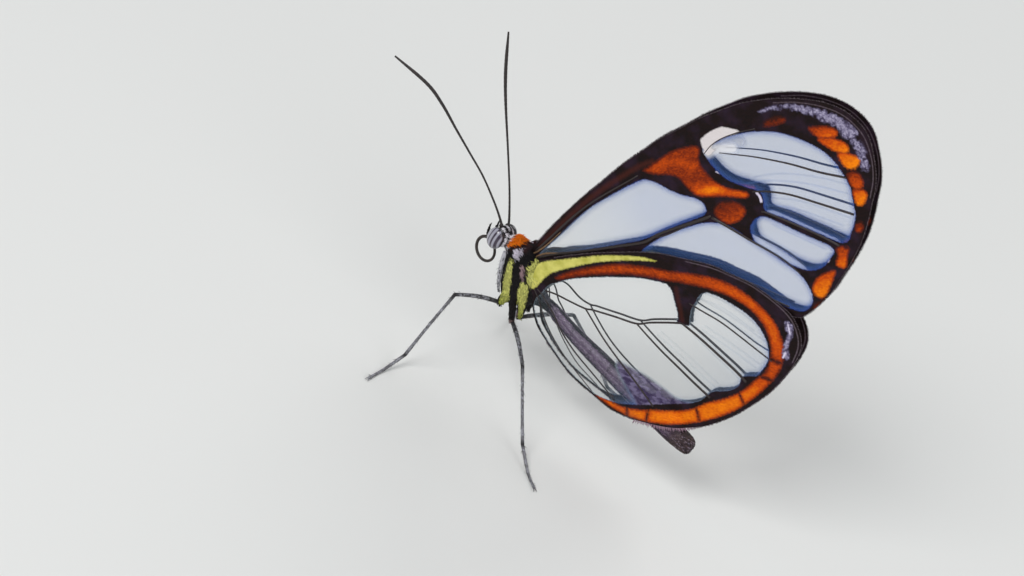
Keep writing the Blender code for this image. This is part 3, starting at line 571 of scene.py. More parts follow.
def wingGrid(wing):
    # columns along u and rows from the hind to the front margin, closer together near both ends
    loop = smoothLine(wing["outline"], 900, closed=True)
    first, last = int(np.argmin(loop[:, 0])), int(np.argmax(loop[:, 0]))
    loop = np.roll(loop, -first, axis=0)
    last = (last - first) % len(loop)
    upper, lower = loop[:last + 1], np.vstack([loop[last:], loop[:1]])[::-1]
    t = np.linspace(0, 1, wing["columns"])
    t = 0.55 * t + 0.45 * (1 - np.cos(math.pi * t)) / 2
    u = upper[0, 0] + 1e-3 + t * (upper[-1, 0] - upper[0, 0] - 2e-3)
    top = np.interp(u, upper[:, 0], upper[:, 1])
    bottom = np.interp(u, lower[:, 0], lower[:, 1])
    share = np.linspace(0, 1, wing["rows"])[None, :]
    v = bottom[:, None] + share * (top - bottom)[:, None]
    return np.stack([np.broadcast_to(u[:, None], v.shape), v], axis=-1)


def slabFaces(columns, rows):
    # an outer and an inner sheet of quads, joined by a rim
    count = columns * rows
    c, r = np.meshgrid(np.arange(columns - 1), np.arange(rows - 1), indexing="ij")
    a = (c * rows + r).ravel()
    outer = np.column_stack([a, a + rows, a + rows + 1, a + 1])
    inner = outer[:, ::-1] + count
    grid = np.arange(count).reshape(columns, rows)
    rim = np.concatenate([grid[:, 0], grid[-1, 1:], grid[-2::-1, -1], grid[0, -2:0:-1]])
    after = np.roll(rim, -1)
    return [outer, inner, np.column_stack([after, rim, rim + count, after + count])]


def wingValues(wing, flat):
    # signed distances in millimetres for the material: positive where the marking is
    def most(loops):
        found = [insideBy(flat, smoothLine(loop, 6 * len(loop), closed=True)) for loop in loops]
        return np.max(found, axis=0) if found else np.full(len(flat), wingFinish["none"])

    def along(path, half, count=60):
        return half - lineDistance(flat, smoothLine(path, count))

    u, v = flat.T
    loops = [loop for loop, _ in wing["orange"]]
    each = np.array([insideBy(flat, smoothLine(loop, 6 * len(loop), closed=True)) for loop in loops])
    orange, nearest = each.max(axis=0), each.argmax(axis=0)
    # a spot of one tone is brighter towards the hind margin
    fixed = np.array([np.nan if tone is None else tone for _, tone in wing["orange"]])[nearest]
    middle = np.array([np.mean(loop, axis=0)[1] for loop in loops])[nearest]
    span = np.array([np.ptp(loop, axis=0)[1] for loop in loops])[nearest]
    slanted = np.nan_to_num(fixed) + wingFinish["slant"] * (middle - v) / span
    tone = np.where(np.isnan(fixed), wing["toneOf"](flat), slanted)
    for seam in wing["seams"]:
        orange = np.minimum(orange, -along(seam, wingFinish["seam"], 12))
    dimmed, reach = wing["rimTone"]
    tone = tone - dimmed * (1 - softStep(orange / reach))
    # the membrane's blue by u: its own tint, and painted shade of the darker ground seen through it
    tintAndShade = np.interp(u, *np.array(wing["tintAndShade"]).T)
    if wing is hindWing:
        # bluer and denser where the wing wraps round the abdomen: painted shade
        tintAndShade = np.clip(tintAndShade + 0.5 * softStep((-v - 4.6) / 1.6) * softStep((u - 4) / 3), 0, 1)
    return dict(
        cover=np.maximum(-most(wing["clear"].values()), most(wing["bar"])),
        orange=orange, tone=tone, tintAndShade=tintAndShade,
        streak=along(*wing["streak"]), pale=along(*wing["pale"]),
        white=most(wing["white"]), yellow=most(wing["yellow"]),
        lilac=most(wing["lilac"]) * wing["lilacGain"],
        haze=softStep(along(*wing["haze"]) / 0.4) if wing["haze"] else np.zeros(len(flat)),
        fleck=np.max([along(path, half, 12) for path, half in wing["flecks"]], axis=0),
        fold=np.min([-along(path, 0.0, 40) for path in wing["folds"]], axis=0),
        shade=softStep(0.5 + most(wing["shade"]) / wingFinish["shadeSoft"]),
        wingPlace=np.column_stack([flat, np.zeros(len(flat))]),
    )


wingFinish = dict(
    # the clear sheet: colours, and how much of each it holds back
    # pure is the sheet near the root, membrane the bluer, denser sheet further out: partly its own tint,
    # partly painted shade
    membrane=(0.12, 0.25, 0.62), membraneAlpha=0.092, pure=(0.45, 0.55, 0.55), pureAlpha=0.022,
    # painted blue shade beside the dark scales, standing for the far wing's dark borders seen through the
    # membrane
    borderShade=(0.035, 0.085, 0.42), borderShadeShare=0.85, borderShadeAlpha=0.34, borderShadeReach=0.5,
    haze=(0.95, 0.95, 1.0), hazeAlpha=0.32, foldAlpha=0.09,
    # painted purple shade beside the abdomen, clouded from deep to pale
    shade=(0.060, 0.042, 0.105), shadePale=(0.20, 0.17, 0.29), shadeAlpha=0.62, shadeSoft=0.36,
    # the scales
    dark=(0.0075, 0.004, 0.0045), purple=(0.022, 0.011, 0.024), brown=(0.035, 0.010, 0.007), brownShare=0.2,
    streak=(0.075, 0.015, 0.009), streakShare=0.6, pale=(0.26, 0.2, 0.24), paleShare=0.4,
    orange=[(0.0, (0.045, 0.008, 0.004)), (0.3, (0.22, 0.022, 0.002)), (0.6, (0.62, 0.075, 0.001)),
            (1.0, (1.0, 0.25, 0.001))],
    yellow=(0.70, 0.66, 0.17), yellowShade=(0.48, 0.46, 0.08), white=(0.78, 0.72, 0.72),
    lilac=(0.46, 0.42, 0.58), lilacDeep=(0.13, 0.11, 0.20), fleck=(0.72, 0.66, 0.82),
    # slant of a spot's tone, half a seam's width, and the distance that stands for a missing marking
    slant=0.42, seam=0.09, none=-9.0,
    ragged=0.26, scaleSize=9.0, scaleShape=(0.75, 1.25, 1), specular=0.12, relief=0.35, reliefDepth=0.00006,
    clearRoughness=0.12, scaleRoughness=0.62,
)


def wingMaterial(name):
    # markings are signed distances with ragged, scale-sized edges; the rest is clear, bluish membrane
    look = wingFinish
    s = Shader(name)
    place = s.vector("wingPlace")
    ragged = s.maths("MULTIPLY", s.maths("SUBTRACT", s.noise(place, 7.0, 3.0, 0.6), 0.5), look["ragged"])
    scalePlace = s.scaled(place, look["scaleShape"])
    grain = s.add("ShaderNodeSeparateColor")
    s.feed(grain.inputs[0], s.cells(scalePlace, look["scaleSize"], "Color"))

    def mask(marking, soft, loose=1.0):
        return s.between(s.maths("MULTIPLY_ADD", ragged, loose, s.value(marking)), -soft, soft)

    def lay(under, share, amount, over):
        return s.mix(s.maths("MULTIPLY", share, amount), under, over)

    # dark scales in black, purple and brown, with the dull red streak along the front margin
    colour = s.mix(s.between(s.noise(place, 0.9, 2.0), 0.45, 0.7), look["dark"], look["purple"])
    colour = lay(colour, grain.outputs[0], look["brownShare"], look["brown"])
    colour = lay(colour, mask("streak", 0.12), look["streakShare"], look["streak"])
    # orange by its tone, varied from scale to scale and in soft clouds
    toned = s.maths("MULTIPLY_ADD", s.maths("SUBTRACT", grain.outputs[1], 0.5), 0.16, s.value("tone"))
    toned = s.maths("MULTIPLY_ADD", s.maths("SUBTRACT", s.noise(place, 1.8, 3.0), 0.5), 0.30, toned)
    colour = s.mix(mask("orange", 0.1), colour, s.ramp(toned, look["orange"]))
    yellow = s.mix(s.between(s.noise(place, 1.3, 3.0), 0.4, 0.65), look["yellow"], look["yellowShade"])
    colour = s.mix(mask("yellow", 0.06), colour, yellow)
    # lilac scales: a deep ground with paler flakes, both thinner towards the patch's edge
    dense = s.between(s.value("lilac"), -0.1, 0.35)
    depth = s.maths("MULTIPLY_ADD", dense, 0.3, s.noise(place, 3.0, 2.5, 0.62))
    within = s.between(s.value("lilac"), -0.12, 0.06)
    ground = s.maths("MULTIPLY", within, s.between(depth, 0.46, 0.62, 0.0, 0.85))
    flakes = s.maths("MULTIPLY", within, s.between(depth, 0.6, 0.72, 0.0, 0.9))
    lilac = s.mix(s.between(s.noise(place, 5.5, 3.0, 0.7), 0.38, 0.62), look["lilacDeep"], look["lilac"])
    colour = s.mix(flakes, s.mix(ground, colour, look["lilacDeep"]), lilac)
    colour = s.mix(mask("fleck", 0.03, 0.3), colour, look["fleck"])
    colour = lay(colour, mask("pale", 0.03, 0.3), look["paleShare"], look["pale"])
    white = mask("white", 0.05, 0.6)
    colour = s.mix(white, colour, look["white"])
    solid = s.maths("MAXIMUM", mask("cover", 0.04, 0.7), white)

    # the sheet: bluer by its own tint and by painted shade, with painted blue shade beside the dark scales
    # and painted purple shade beside the abdomen
    sheet = s.mix(s.value("tintAndShade"), look["pure"], look["membrane"])
    # painted blue shade: strongest at the edge of the dark scales, fading over a short reach
    borderShade = s.between(s.value("cover"), -look["borderShadeReach"], 0.0)
    borderShade = s.maths("MULTIPLY", s.maths("MULTIPLY", borderShade, borderShade), s.value("tintAndShade"))
    sheet = lay(sheet, borderShade, look["borderShadeShare"], look["borderShade"])
    clouds = s.between(s.noise(s.scaled(place, (1.0, 1.6, 1)), 1.8), 0.42, 0.6)
    sheet = s.mix(s.value("shade"), sheet, s.mix(clouds, look["shade"], look["shadePale"]))
    clear = s.between(s.value("tintAndShade"), 0, 1, look["pureAlpha"], look["membraneAlpha"])
    alphas = (("haze", look["hazeAlpha"]), ("shade", look["shadeAlpha"]), (None, look["borderShadeAlpha"]))
    for share, alpha in alphas:
        clear = s.maths("MULTIPLY_ADD", s.value(share) if share else borderShade, alpha, clear)
    clear = s.maths("ADD", clear, s.between(s.value("fold"), 0.03, 0.10, look["foldAlpha"], 0.0))
    colour = s.mix(solid, s.mix(s.value("haze"), sheet, look["haze"]), colour)
    alpha = s.maths("ADD", s.maths("MULTIPLY", solid, s.maths("SUBTRACT", 1.0, clear)), clear)
    roughness = s.between(solid, 0, 1, look["clearRoughness"], look["scaleRoughness"])
    s.set(colour=colour, alpha=alpha, roughness=roughness, specular=look["specular"])
    ridges = s.maths("MULTIPLY", s.cells(scalePlace, look["scaleSize"]), solid)
    s.bump(s.maths("ADD", ridges, s.noise(place, 1.1, 1.0)), look["relief"], look["reliefDepth"])
    return s.material


def veinMaterial():
    # near black with brown grain
    s = Shader("wing vein")
    grain = s.noise(s.place(), 6.0, 3.0)
    colour = s.mix(grain, (0.010, 0.007, 0.007), (0.035, 0.020, 0.018))
    s.set(colour=colour, roughness=s.between(grain, 0.3, 0.7, 0.4, 0.6))
    s.bump(grain, 0.3, 0.00003)
    return s.material


# a tuft is flattened, narrow at its root, and takes up this much of the bake map
tuftShape = dict(sides=3, flat=0.35, root=0.6, patch=0.003)
darkScale = (0.008, 0.005, 0.007)


def tufts(roots, outs, lies, lengths, widths, lift, bend):
    # tapered blades: root ring, middle ring and tip, on a curve that leaves by lift and bends to the lie
    count, sides = len(roots), tuftShape["sides"]
    lies = unit(lies - outs * (lies * outs).sum(axis=1, keepdims=True))
    across = np.cross(outs, lies)
    start = unit(lies + outs * lift[:, None])
    end = unit(lies + outs * (lift - bend)[:, None])
    middle = roots + 0.5 * lengths[:, None] * start
    tip = middle + 0.5 * lengths[:, None] * end
    turn = np.linspace(0, 2 * math.pi, sides, endpoint=False)
    cos, sin = np.cos(turn)[None, :, None], np.sin(turn)[None, :, None]
    ring = cos * across[:, None] + tuftShape["flat"] * sin * np.cross(start, across)[:, None]
    low = roots[:, None] + tuftShape["root"] * widths[:, None, None] * ring
    high = middle[:, None] + widths[:, None, None] * ring
    points = np.concatenate([low, high, tip[:, None]], axis=1).reshape(-1, 3)
    side = np.arange(sides)
    after = (side + 1) % sides
    quads = np.column_stack([side, after, after + sides, side + sides])
    caps = np.column_stack([side + sides, after + sides, np.full(sides, 2 * sides)])
    base = side[::-1][None, :]
    each = 2 * sides + 1
    step = each * np.arange(count)[:, None, None]
    faces = [(kind[None] + step).reshape(-1, kind.shape[1]) for kind in (quads, caps, base)]
    return points, faces, each


def patchMap(uv, each):
    # every point of a tuft on a small patch at the tuft's root on the bake map
    ring = np.linspace(0, 2 * math.pi, each, endpoint=False)
    offset = 0.5 * tuftShape["patch"] * np.column_stack([np.cos(ring), np.sin(ring)])
    return (uv[:, None] + offset[None]).reshape(-1, 2)


def tuftMaterial():
    # each tuft's own tint, a little darker in grains
    s = Shader("scales and hairs")
    grain = s.between(s.noise(s.place(), 9.0, 2.0), 0.3, 0.7, 0.0, 0.22)
    s.set(colour=s.mix(grain, s.tint("tint"), darkScale), roughness=0.6, specular=0.22)
    return s.material


veinFinish = veinMaterial()
tuftFinish = tuftMaterial()


def addWing(kind, side, way):
    # the membrane: two sheets of points out and in from the wing's own surface
    wing = foreWing if kind == "forewing" else hindWing
    grid = wingGrid(wing)
    flat = grid.reshape(-1, 2)
    half = wing["thick"] / 2
    points = np.vstack([wingPlaces(flat, wing, way, half), wingPlaces(flat, wing, way, -half)])
    faces = slabFaces(*grid.shape[:2])
    if way > 0:
        faces = [quads[:, ::-1] for quads in faces]
    mesh = makeMesh(f"{kind}_{side}_membrane", points, faces)
    values = wing["values"] = wing.get("values") or wingValues(wing, flat)
    if kind == "hindwing" and way > 0:
        # the far wing has no painted purple shade, and less orange beside the abdomen
        beside = np.exp(-(((flat[:, 0] - 7.2) / 2.2) ** 2)) * (flat[:, 1] < -4)
        values = dict(values, orange=values["orange"] - 0.5 * beside, shade=0.0 * values["shade"])
    # the inner sheet has no lilac and no flecks
    addValues(mesh, {name: np.concatenate([numbers, numbers - 5.0 * (name in ("lilac", "fleck"))])
                     for name, numbers in values.items()})
    if "material" not in wing:
        wing["material"] = wingMaterial(f"{kind} membrane and scales")
    addPiece(f"{kind}_{side}_membrane", mesh, wing["material"], (f"{kind}_{side}",))

    rings = []
    for path, first, last in wing["veins"]:
        line = smoothLine(path, max(12, 6 * len(path)))
        rings.append(tubeRings(wingPlaces(line, wing, way), np.linspace(first, last, len(line)), 8))
    mesh = makeMesh(f"{kind}_{side}_veins", *joined(rings))
    addPiece(f"{kind}_{side}_veins", mesh, veinFinish)
    addFringe(kind, side, way, wing)


# hairs round the margin, longer and pink at the low end of the hindwing
fringe = dict(count=900, length=0.10, more=0.06, longer=1.6, width=0.035, sunk=0.03, reach=0.3,
              dark=(0.05, 0.035, 0.04), pale=(0.10, 0.08, 0.09), pink=(0.42, 0.26, 0.34))


def addFringe(kind, side, way, wing):
    # short hairs that stand out of the margin in the plane of the wing, except where the wings overlap
    loop = smoothLine(wing["outline"], fringe["count"], closed=True)
    ahead = unit(np.roll(loop, -1, axis=0) - loop)
    u, v = loop.T
    freeOf = (u > 0.6) & ((kind == "hindwing") | (v > -0.25 * u - 0.5) | (u > 14))
    loop, ahead = loop[freeOf], ahead[freeOf]
    count = len(loop)
    outward = np.column_stack([-ahead[:, 1], ahead[:, 0]])
    low = softStep((-loop[:, 1] - 6.6) / 0.6) * (loop[:, 0] > 7.2) * (kind == "hindwing")
    lengths = (fringe["length"] + fringe["more"] * rng.random(count)) * (1 + fringe["longer"] * low)
    slant = outward + 0.5 * (rng.random((count, 1)) - 0.3) * ahead
    roots = wingPlaces(loop - fringe["sunk"] * outward, wing, way)
    tips = wingPlaces(loop + slant * fringe["reach"], wing, way)
    outs = np.tile([0.0, way, 0.0], (count, 1))
    widths, lift = np.full(count, fringe["width"]), 0.2 * rng.standard_normal(count)
    points, faces, each = tufts(roots, outs, tips - roots, lengths, widths, lift, np.zeros(count))
    grey = np.array(fringe["dark"]) + rng.random((count, 1)) * np.array(fringe["pale"])
    mesh = makeMesh(f"{kind}_{side}_fringe", points, faces, smooth=False)
    addTint(mesh, paint(grey, low, fringe["pink"]), each)
    around = 0.02 + 0.96 * np.linspace(0, 1, count, endpoint=False)
    addMap(mesh, patchMap(np.column_stack([around, np.full(count, 0.5)]), each))
    addPiece(f"{kind}_{side}_fringe", mesh, tuftFinish)


for wingSide, wingWay in (("left", -1), ("right", 1)):
    addWing("forewing", wingSide, wingWay)
    addWing("hindwing", wingSide, wingWay)
print("wings made")


# body

body = dict(
    rings=170, sides=48, voxel=0.055, soften=5,
    # x, low, high and half width of the trunk from the neck to the tail
    trunk=[
        (2.05, 9.0, 9.85, 0.4), (2.3, 8.9, 10.1, 0.6), (2.55, 8.4, 10.25, 0.72),
        (2.75, 7.6, 10.3, 0.78), (2.95, 6.8, 10.3, 0.85), (3.25, 6.2, 10.3, 0.95),
        (3.65, 5.75, 10.35, 1.0), (4.2, 5.8, 10.45, 1.05), (4.8, 6.15, 10.0, 0.98),
        (5.2, 6.5, 9.1, 0.86), (5.6, 6.8, 8.15, 0.66), (6.0, 6.9, 7.72, 0.48), (6.4, 6.88, 7.62, 0.42),
        (6.8, 6.76, 7.58, 0.42), (7.2, 6.55, 7.5, 0.46), (9.0, 5.98, 7.02, 0.52),
        (11.0, 5.48, 6.67, 0.59), (13.0, 5.03, 6.27, 0.65), (15.0, 4.58, 5.97, 0.71),
        (17.0, 4.18, 5.62, 0.73), (18.1, 4.05, 5.38, 0.7), (18.7, 4.05, 5.2, 0.62),
        (18.95, 4.2, 5.0, 0.45),
    ],
    head=[(1.0, 9.0, 9.6, 0.35), (1.2, 8.8, 10.05, 0.62), (1.5, 8.78, 10.25, 0.7),
          (1.8, 8.85, 10.15, 0.66), (2.1, 9.0, 9.9, 0.5), (2.35, 9.1, 9.7, 0.35)],
    headPivot=2.2, headTurn=math.radians(17),
    palps=([(1.25, 0.3, 9.0), (0.95, 0.34, 8.85), (0.66, 0.36, 9.0), (0.58, 0.38, 9.4), (0.56, 0.4, 9.8)],
           (0.11, 0.1, 0.09, 0.075, 0.04)),
    coxae=[([(3.9, 0.5, 7.3), (3.75, 0.55, 6.4), (3.55, 0.52, 5.55)], (0.42, 0.36, 0.2)),
           ([(4.0, 0.6, 7.4), (4.35, 0.66, 6.4), (4.72, 0.6, 5.3), (4.86, 0.48, 4.9)],
            (0.34, 0.28, 0.2, 0.15)),
           ([(4.75, 0.5, 7.5), (5.05, 0.6, 6.5), (5.22, 0.62, 5.6)], (0.42, 0.3, 0.09))],
    shoulders=[((3.75, 0.72, 9.75), (0.55, 0.28, 0.6)), ((4.95, 0.72, 8.8), (0.6, 0.26, 0.55))],
    black=(0.0055, 0.004, 0.005), yellow=(0.72, 0.72, 0.20), yellowDeep=(0.42, 0.47, 0.06),
    orange=(1.0, 0.215, 0.001), pink=(0.40, 0.26, 0.28), lilac=(0.66, 0.60, 0.70), white=(0.98, 0.93, 1.0),
    tan=(0.30, 0.17, 0.08), side=(0.135, 0.085, 0.148), back=(0.010, 0.006, 0.012), line=(0.29, 0.235, 0.31),
    belly=(0.30, 0.28, 0.29), knob=(0.32, 0.21, 0.20), band=(0.035, 0.008, 0.008), grey=(0.13, 0.11, 0.15),
    tip=(0.016, 0.009, 0.010), tipSpeck=(0.085, 0.055, 0.05), tipFrom=17.3, segment=1.62,
    bands=[
        ("yellow", [(2.83, 8.9), (2.97, 9.1), (3.4, 8.35), (3.88, 7.5), (4.05, 6.7), (3.98, 6.0),
                    (3.8, 5.68), (3.58, 5.72), (3.4, 6.6), (3.02, 8.0)]),
        ("yellow", [(4.31, 8.08), (4.42, 8.34), (4.8, 8.25), (4.98, 7.8), (5.1, 7.2), (5.24, 6.3),
                    (5.34, 5.3), (5.1, 5.3), (4.78, 6.25), (4.45, 7.05)]),
        ("yellow", [(4.2, 9.1), (4.1, 9.6), (4.3, 10.0), (4.8, 10.3), (5.6, 9.9), (5.6, 9.2),
                    (5.3, 8.75), (5.0, 8.35), (4.65, 8.42)]),
        # the pink streak on the thorax is a painted highlight
        ("pink", [(3.68, 9.12), (3.8, 9.28), (4.05, 8.9), (4.34, 8.33), (4.2, 8.38), (3.86, 8.74)]),
        ("lilac", [(2.78, 9.62), (2.98, 9.86), (3.25, 10.1), (3.4, 10.2), (3.42, 9.9), (3.33, 9.42),
                   (3.04, 9.2)]),
    ],
    collar=[(2.2, 9.45), (2.45, 9.75), (2.7, 10.0), (2.93, 10.2), (3.2, 10.45)],
    lines=[([(1.94, 10.2), (1.97, 9.56), (1.9, 8.9)], 0.1),
           ([(2.2, 10.0), (2.27, 9.5), (2.32, 9.0)], 0.075)],
    # head places (x, distance from its middle, z) and the radius of each white spot
    spots=[((1.42, 0.42, 10.17), 0.15), ((1.62, 0.45, 10.17), 0.15), ((1.3, 0.0, 10.15), 0.09),
           ((1.42, 0.0, 10.2), 0.09), ((1.56, 0.0, 10.25), 0.09), ((1.7, 0.0, 10.22), 0.09),
           ((1.97, 0.36, 10.0), 0.15), ((2.12, 0.1, 9.93), 0.13), ((1.85, 0.42, 8.85), 0.24),
           ((2.05, 0.45, 9.05), 0.28)],
    rear=[(5.35, 9.3), (5.75, 9.0), (6.2, 8.4), (6.35, 7.7), (5.95, 7.6), (5.6, 8.2)],
    hindCoxa=[(3.95, 7.5), (4.3, 6.6), (4.62, 5.6), (4.86, 4.9)],
    # x and z of the line that the bake map is unwrapped round
    middle=[(0.4, 9.5), (2.2, 9.5), (3.0, 8.8), (4.2, 8.1), (5.4, 8.1), (6.3, 7.5), (8, 6.75),
            (11, 6.07), (15, 5.27), (19, 4.55)],
)


def turnedHead(points, way=1):
    # the head looks a little to the insect's right: turned about its pivot, or turned back where way is -1
    cos, sin = math.cos(body["headTurn"]), way * math.sin(body["headTurn"])
    x, y = points[..., 0] - body["headPivot"], points[..., 1]
    return np.stack([body["headPivot"] + cos * x + sin * y, cos * y - sin * x, points[..., 2]], axis=-1)


def loft(stations, count, sides):
    # oval rings square to X through stations of x, low, high and half width
    x, low, high, half = smoothLine(stations, count).T
    turn = np.linspace(0, 2 * math.pi, sides, endpoint=False)
    y = half[:, None] * np.cos(turn)
    z = (low + high)[:, None] / 2 + (high - low)[:, None] / 2 * np.sin(turn)
    return np.stack([np.broadcast_to(x[:, None], y.shape), y, z], axis=-1)


def egg(centre, radii, count=24, sides=32):
    # ellipsoid as rings along X
    t = np.linspace(0.06, math.pi - 0.06, count)
    turn = np.linspace(0, 2 * math.pi, sides, endpoint=False)
    x = -np.cos(t)[:, None] * np.ones(sides)
    y, z = np.sin(t)[:, None] * np.cos(turn), np.sin(t)[:, None] * np.sin(turn)
    return np.stack([x, y, z], axis=-1) * radii + np.asarray(centre)


def spread(values, count):
    # a few values stretched evenly over count places
    return np.interp(np.linspace(0, 1, count), np.linspace(0, 1, len(values)), values)


def mirror(rings):
    # the other side's rings, each run backwards so that faces still point out
    return (rings * [1, -1, 1])[:, ::-1]


def bodyParts():
    # trunk, head, palps, and the coxae and shoulders of both sides
    both = [tubeRings(smoothLine(path, 24), spread(radii, 24), 24) for path, radii in body["coxae"]]
    both += [egg(centre, radii) for centre, radii in body["shoulders"]]
    path, radii = body["palps"]
    palp = tubeRings(smoothLine(path, 30), spread(radii, 30), 20)
    trunk = loft(body["trunk"], body["rings"], body["sides"])
    head = turnedHead(loft(body["head"], 40, body["sides"]))
    both += [mirror(rings) for rings in both]
    return [trunk, head, turnedHead(palp), turnedHead(mirror(palp)), *both]


def fuse(name, ringSets):
    # closed parts that overlap, melted into one skin; done in millimetres, then brought to size
    points, faceSets = joined(ringSets)
    thing = bpy.data.objects.new(name, makeMesh(name, points, faceSets, placed=False))
    bpy.context.scene.collection.objects.link(thing)
    melt = thing.modifiers.new("melt", "REMESH")
    melt.mode, melt.voxel_size, melt.use_smooth_shade = "VOXEL", body["voxel"], True
    soften = thing.modifiers.new("soften", "SMOOTH")
    soften.factor, soften.iterations = 0.5, body["soften"]
    shown = thing.evaluated_get(bpy.context.evaluated_depsgraph_get())
    mesh = bpy.data.meshes.new_from_object(shown)
    bpy.data.objects.remove(thing)
    corners = np.zeros(len(mesh.vertices) * 3, np.float32)
    mesh.vertices.foreach_get("co", corners)
    return mesh, corners.reshape(-1, 3).astype(float)


def placeMesh(mesh, points):
    # from the layout in millimetres to the frame
    mesh.vertices.foreach_set("co", ((points + shift) * millimetre).astype(np.float32).ravel())
    mesh.update()


def edge(distance, soft=0.05):
    # from 0 to 1 across the edge of a signed distance
    return softStep(distance / (2 * soft) + 0.5)


def bodyColour(places):
    # the markings, as a function of the place on the body, for skin and coat alike
    x, y, z = places.T
    side = np.abs(y)
    flat = places[:, [0, 2]]
    ripple = 0.05 * np.sin(9 * x + 5 * z + 3 * side) * np.sin(7 * z - 4 * x)

    def fill(tone):
        return np.tile(np.array(body[tone]), (len(places), 1))

    # bands on the outer face, the yellow ones deeper low down; the pink streak is a painted highlight
    outer = edge(side - np.where(z < 6.6, np.where(y > 0, 0.66, 0.52), 0.3), 0.1)
    colour = fill("black")
    for tone, loop in body["bands"]:
        mask = edge(insideBy(flat, smoothLine(loop, 60, closed=True)) + 0.4 * ripple, 0.04) * outer
        deep = softStep((7.4 - z) / 2.2) * (tone == "yellow")
        colour = paint(colour, mask, paint(fill(tone), deep, body["yellowDeep"]))
    for path, half in body["lines"]:
        mask = edge(half - lineDistance(flat, smoothLine(path, 30)), 0.03) * edge(side - 0.32, 0.06)
        colour = paint(colour, mask, body["white"])
    # the collar above its ledge, and a dark red band under it
    above = z - np.interp(x, *np.array(body["collar"]).T) + ripple
    onCollar = edge(above, 0.05) * edge(x - 2.2, 0.06) * edge(3.05 - x, 0.06)
    colour = paint(colour, onCollar, body["orange"])
    under = edge(0.14 - np.abs(above + 0.24), 0.04) * edge(x - 2.3, 0.06) * edge(3.6 - x, 0.1)
    colour = paint(colour, under * (1 - onCollar), body["band"])
    # spots on both sides of the head
    local = turnedHead(places, -1)
    local[:, 1] = np.abs(local[:, 1])
    for place, radius in body["spots"]:
        gap = np.linalg.norm(local - place, axis=1)
        colour = paint(colour, edge(radius - gap, 0.035) * (x < 2.35), body["white"])
    behind = edge(insideBy(flat, smoothLine(body["rear"], 40, closed=True)) + ripple, 0.12)
    colour = paint(colour, 0.8 * behind, body["grey"])
    # black hind coxa between the yellow bands, with a pink knob at its end
    coxa = edge(0.2 - lineDistance(flat, np.array(body["hindCoxa"])), 0.03)
    colour = paint(colour, coxa * edge(side - 0.3, 0.1), body["black"])
    colour = paint(colour, 0.8 * edge(5.2 - z, 0.12) * edge(x - 4.5, 0.1), body["knob"])
    return paint(colour, edge(x - 6.5, 0.25), abdomenColour(x, z, side, ripple))


def abdomenColour(x, z, side, ripple):
    # by the angle round the middle line: dark back, purple-grey side with pale lines, pale belly,
    # then darker rings between the segments and a speckled tip
    angle = np.degrees(np.arctan2(z - np.interp(x, *abdomenAxis.T), side))
    grain = np.sin(11.0 * x + 3 * np.sin(7 * angle / 60)) * np.sin(0.21 * angle + 2.3 * x)
    grain = grain * np.sin(5.3 * x - 0.13 * angle)
    ringed = np.abs(((x - 7.0) / body["segment"]) % 1 - 0.5)
    colour = np.array(body["side"]) * (1 + 0.45 * grain[:, None])
    for mask, tone in (
        (edge(angle - 70 + 60 * ripple, 5), "back"),
        (edge(13 - np.abs(angle - 47), 8) * (0.75 + 0.5 * grain), "line"),
        (edge(5 - np.abs(angle - 8), 3) * (0.7 + 0.5 * grain), "line"),
        (edge(8 - np.abs(angle + 24), 2.5), "back"),
        (edge(-angle - 45, 5), "belly"),
        (0.6 * edge(ringed - 0.46, 0.03), "back"),
    ):
        colour = paint(colour, mask, body[tone])
    tip = np.clip(0.5 + 0.9 * grain, 0, 1)[:, None] * np.array(body["tipSpeck"]) + np.array(body["tip"])
    return paint(colour, 0.9 * edge(x - body["tipFrom"], 0.5), tip)


def bodyFlow(places):
    # the lie of the coat: back along the body, down on the coxae, back over the crown and up the palps
    x, z = places[:, [0, 2]].T
    flow = np.tile(np.array([1.0, 0.0, -0.22]), (len(places), 1))
    flow = paint(flow, edge(8.4 - z, 0.8) * edge(5.6 - x, 0.3), (0.25, 0.0, -1.0))
    flow = paint(flow, edge(2.4 - x, 0.2) * edge(z - 9.2, 0.3), (0.9, 0.0, 0.25))
    return paint(flow, edge(0.85 - x, 0.15), (-0.1, 0.0, 1.0))


def skinMaterial():
    # the tint of the markings, darkened in fine grains, with scales raised on it
    s = Shader("body scales")
    place = s.place()
    fine = s.noise(place, 14.0, 3.0, 0.6)
    scales = s.cells(place, 9.0)
    colour = s.mix(s.between(fine, 0.3, 0.75, 0.0, 0.45), s.tint("tint"), (0.007, 0.005, 0.006))
    s.set(colour=colour, roughness=s.between(fine, 0.2, 0.8, 0.5, 0.7), specular=0.22)
    s.bump(s.maths("ADD", scales, fine), 0.5, 0.00004)
    return s.material


def scatter(points, normals, triangles, spacing, keep):
    # even roots: many random places on the skin, of which each small cube keeps one
    corners = points[triangles]
    triangles = triangles[keep(corners.mean(axis=1))]
    corners = points[triangles]
    along, across = corners[:, 1] - corners[:, 0], corners[:, 2] - corners[:, 0]
    areas = np.linalg.norm(np.cross(along, across), axis=1) / 2
    count = int(6 * areas.sum() / spacing**2)
    pick = rng.choice(len(triangles), count, p=areas / areas.sum())
    a, b = rng.random((2, count))
    a, b = np.where(a + b > 1, 1 - a, a), np.where(a + b > 1, 1 - b, b)
    weights = np.stack([1 - a - b, a, b], axis=1)[..., None]
    places = (corners[pick] * weights).sum(axis=1)
    outs = unit((normals[triangles[pick]] * weights).sum(axis=1))
    kept = np.unique(np.floor(places / spacing).astype(int), axis=0, return_index=True)[1]
    return places[kept], outs[kept]


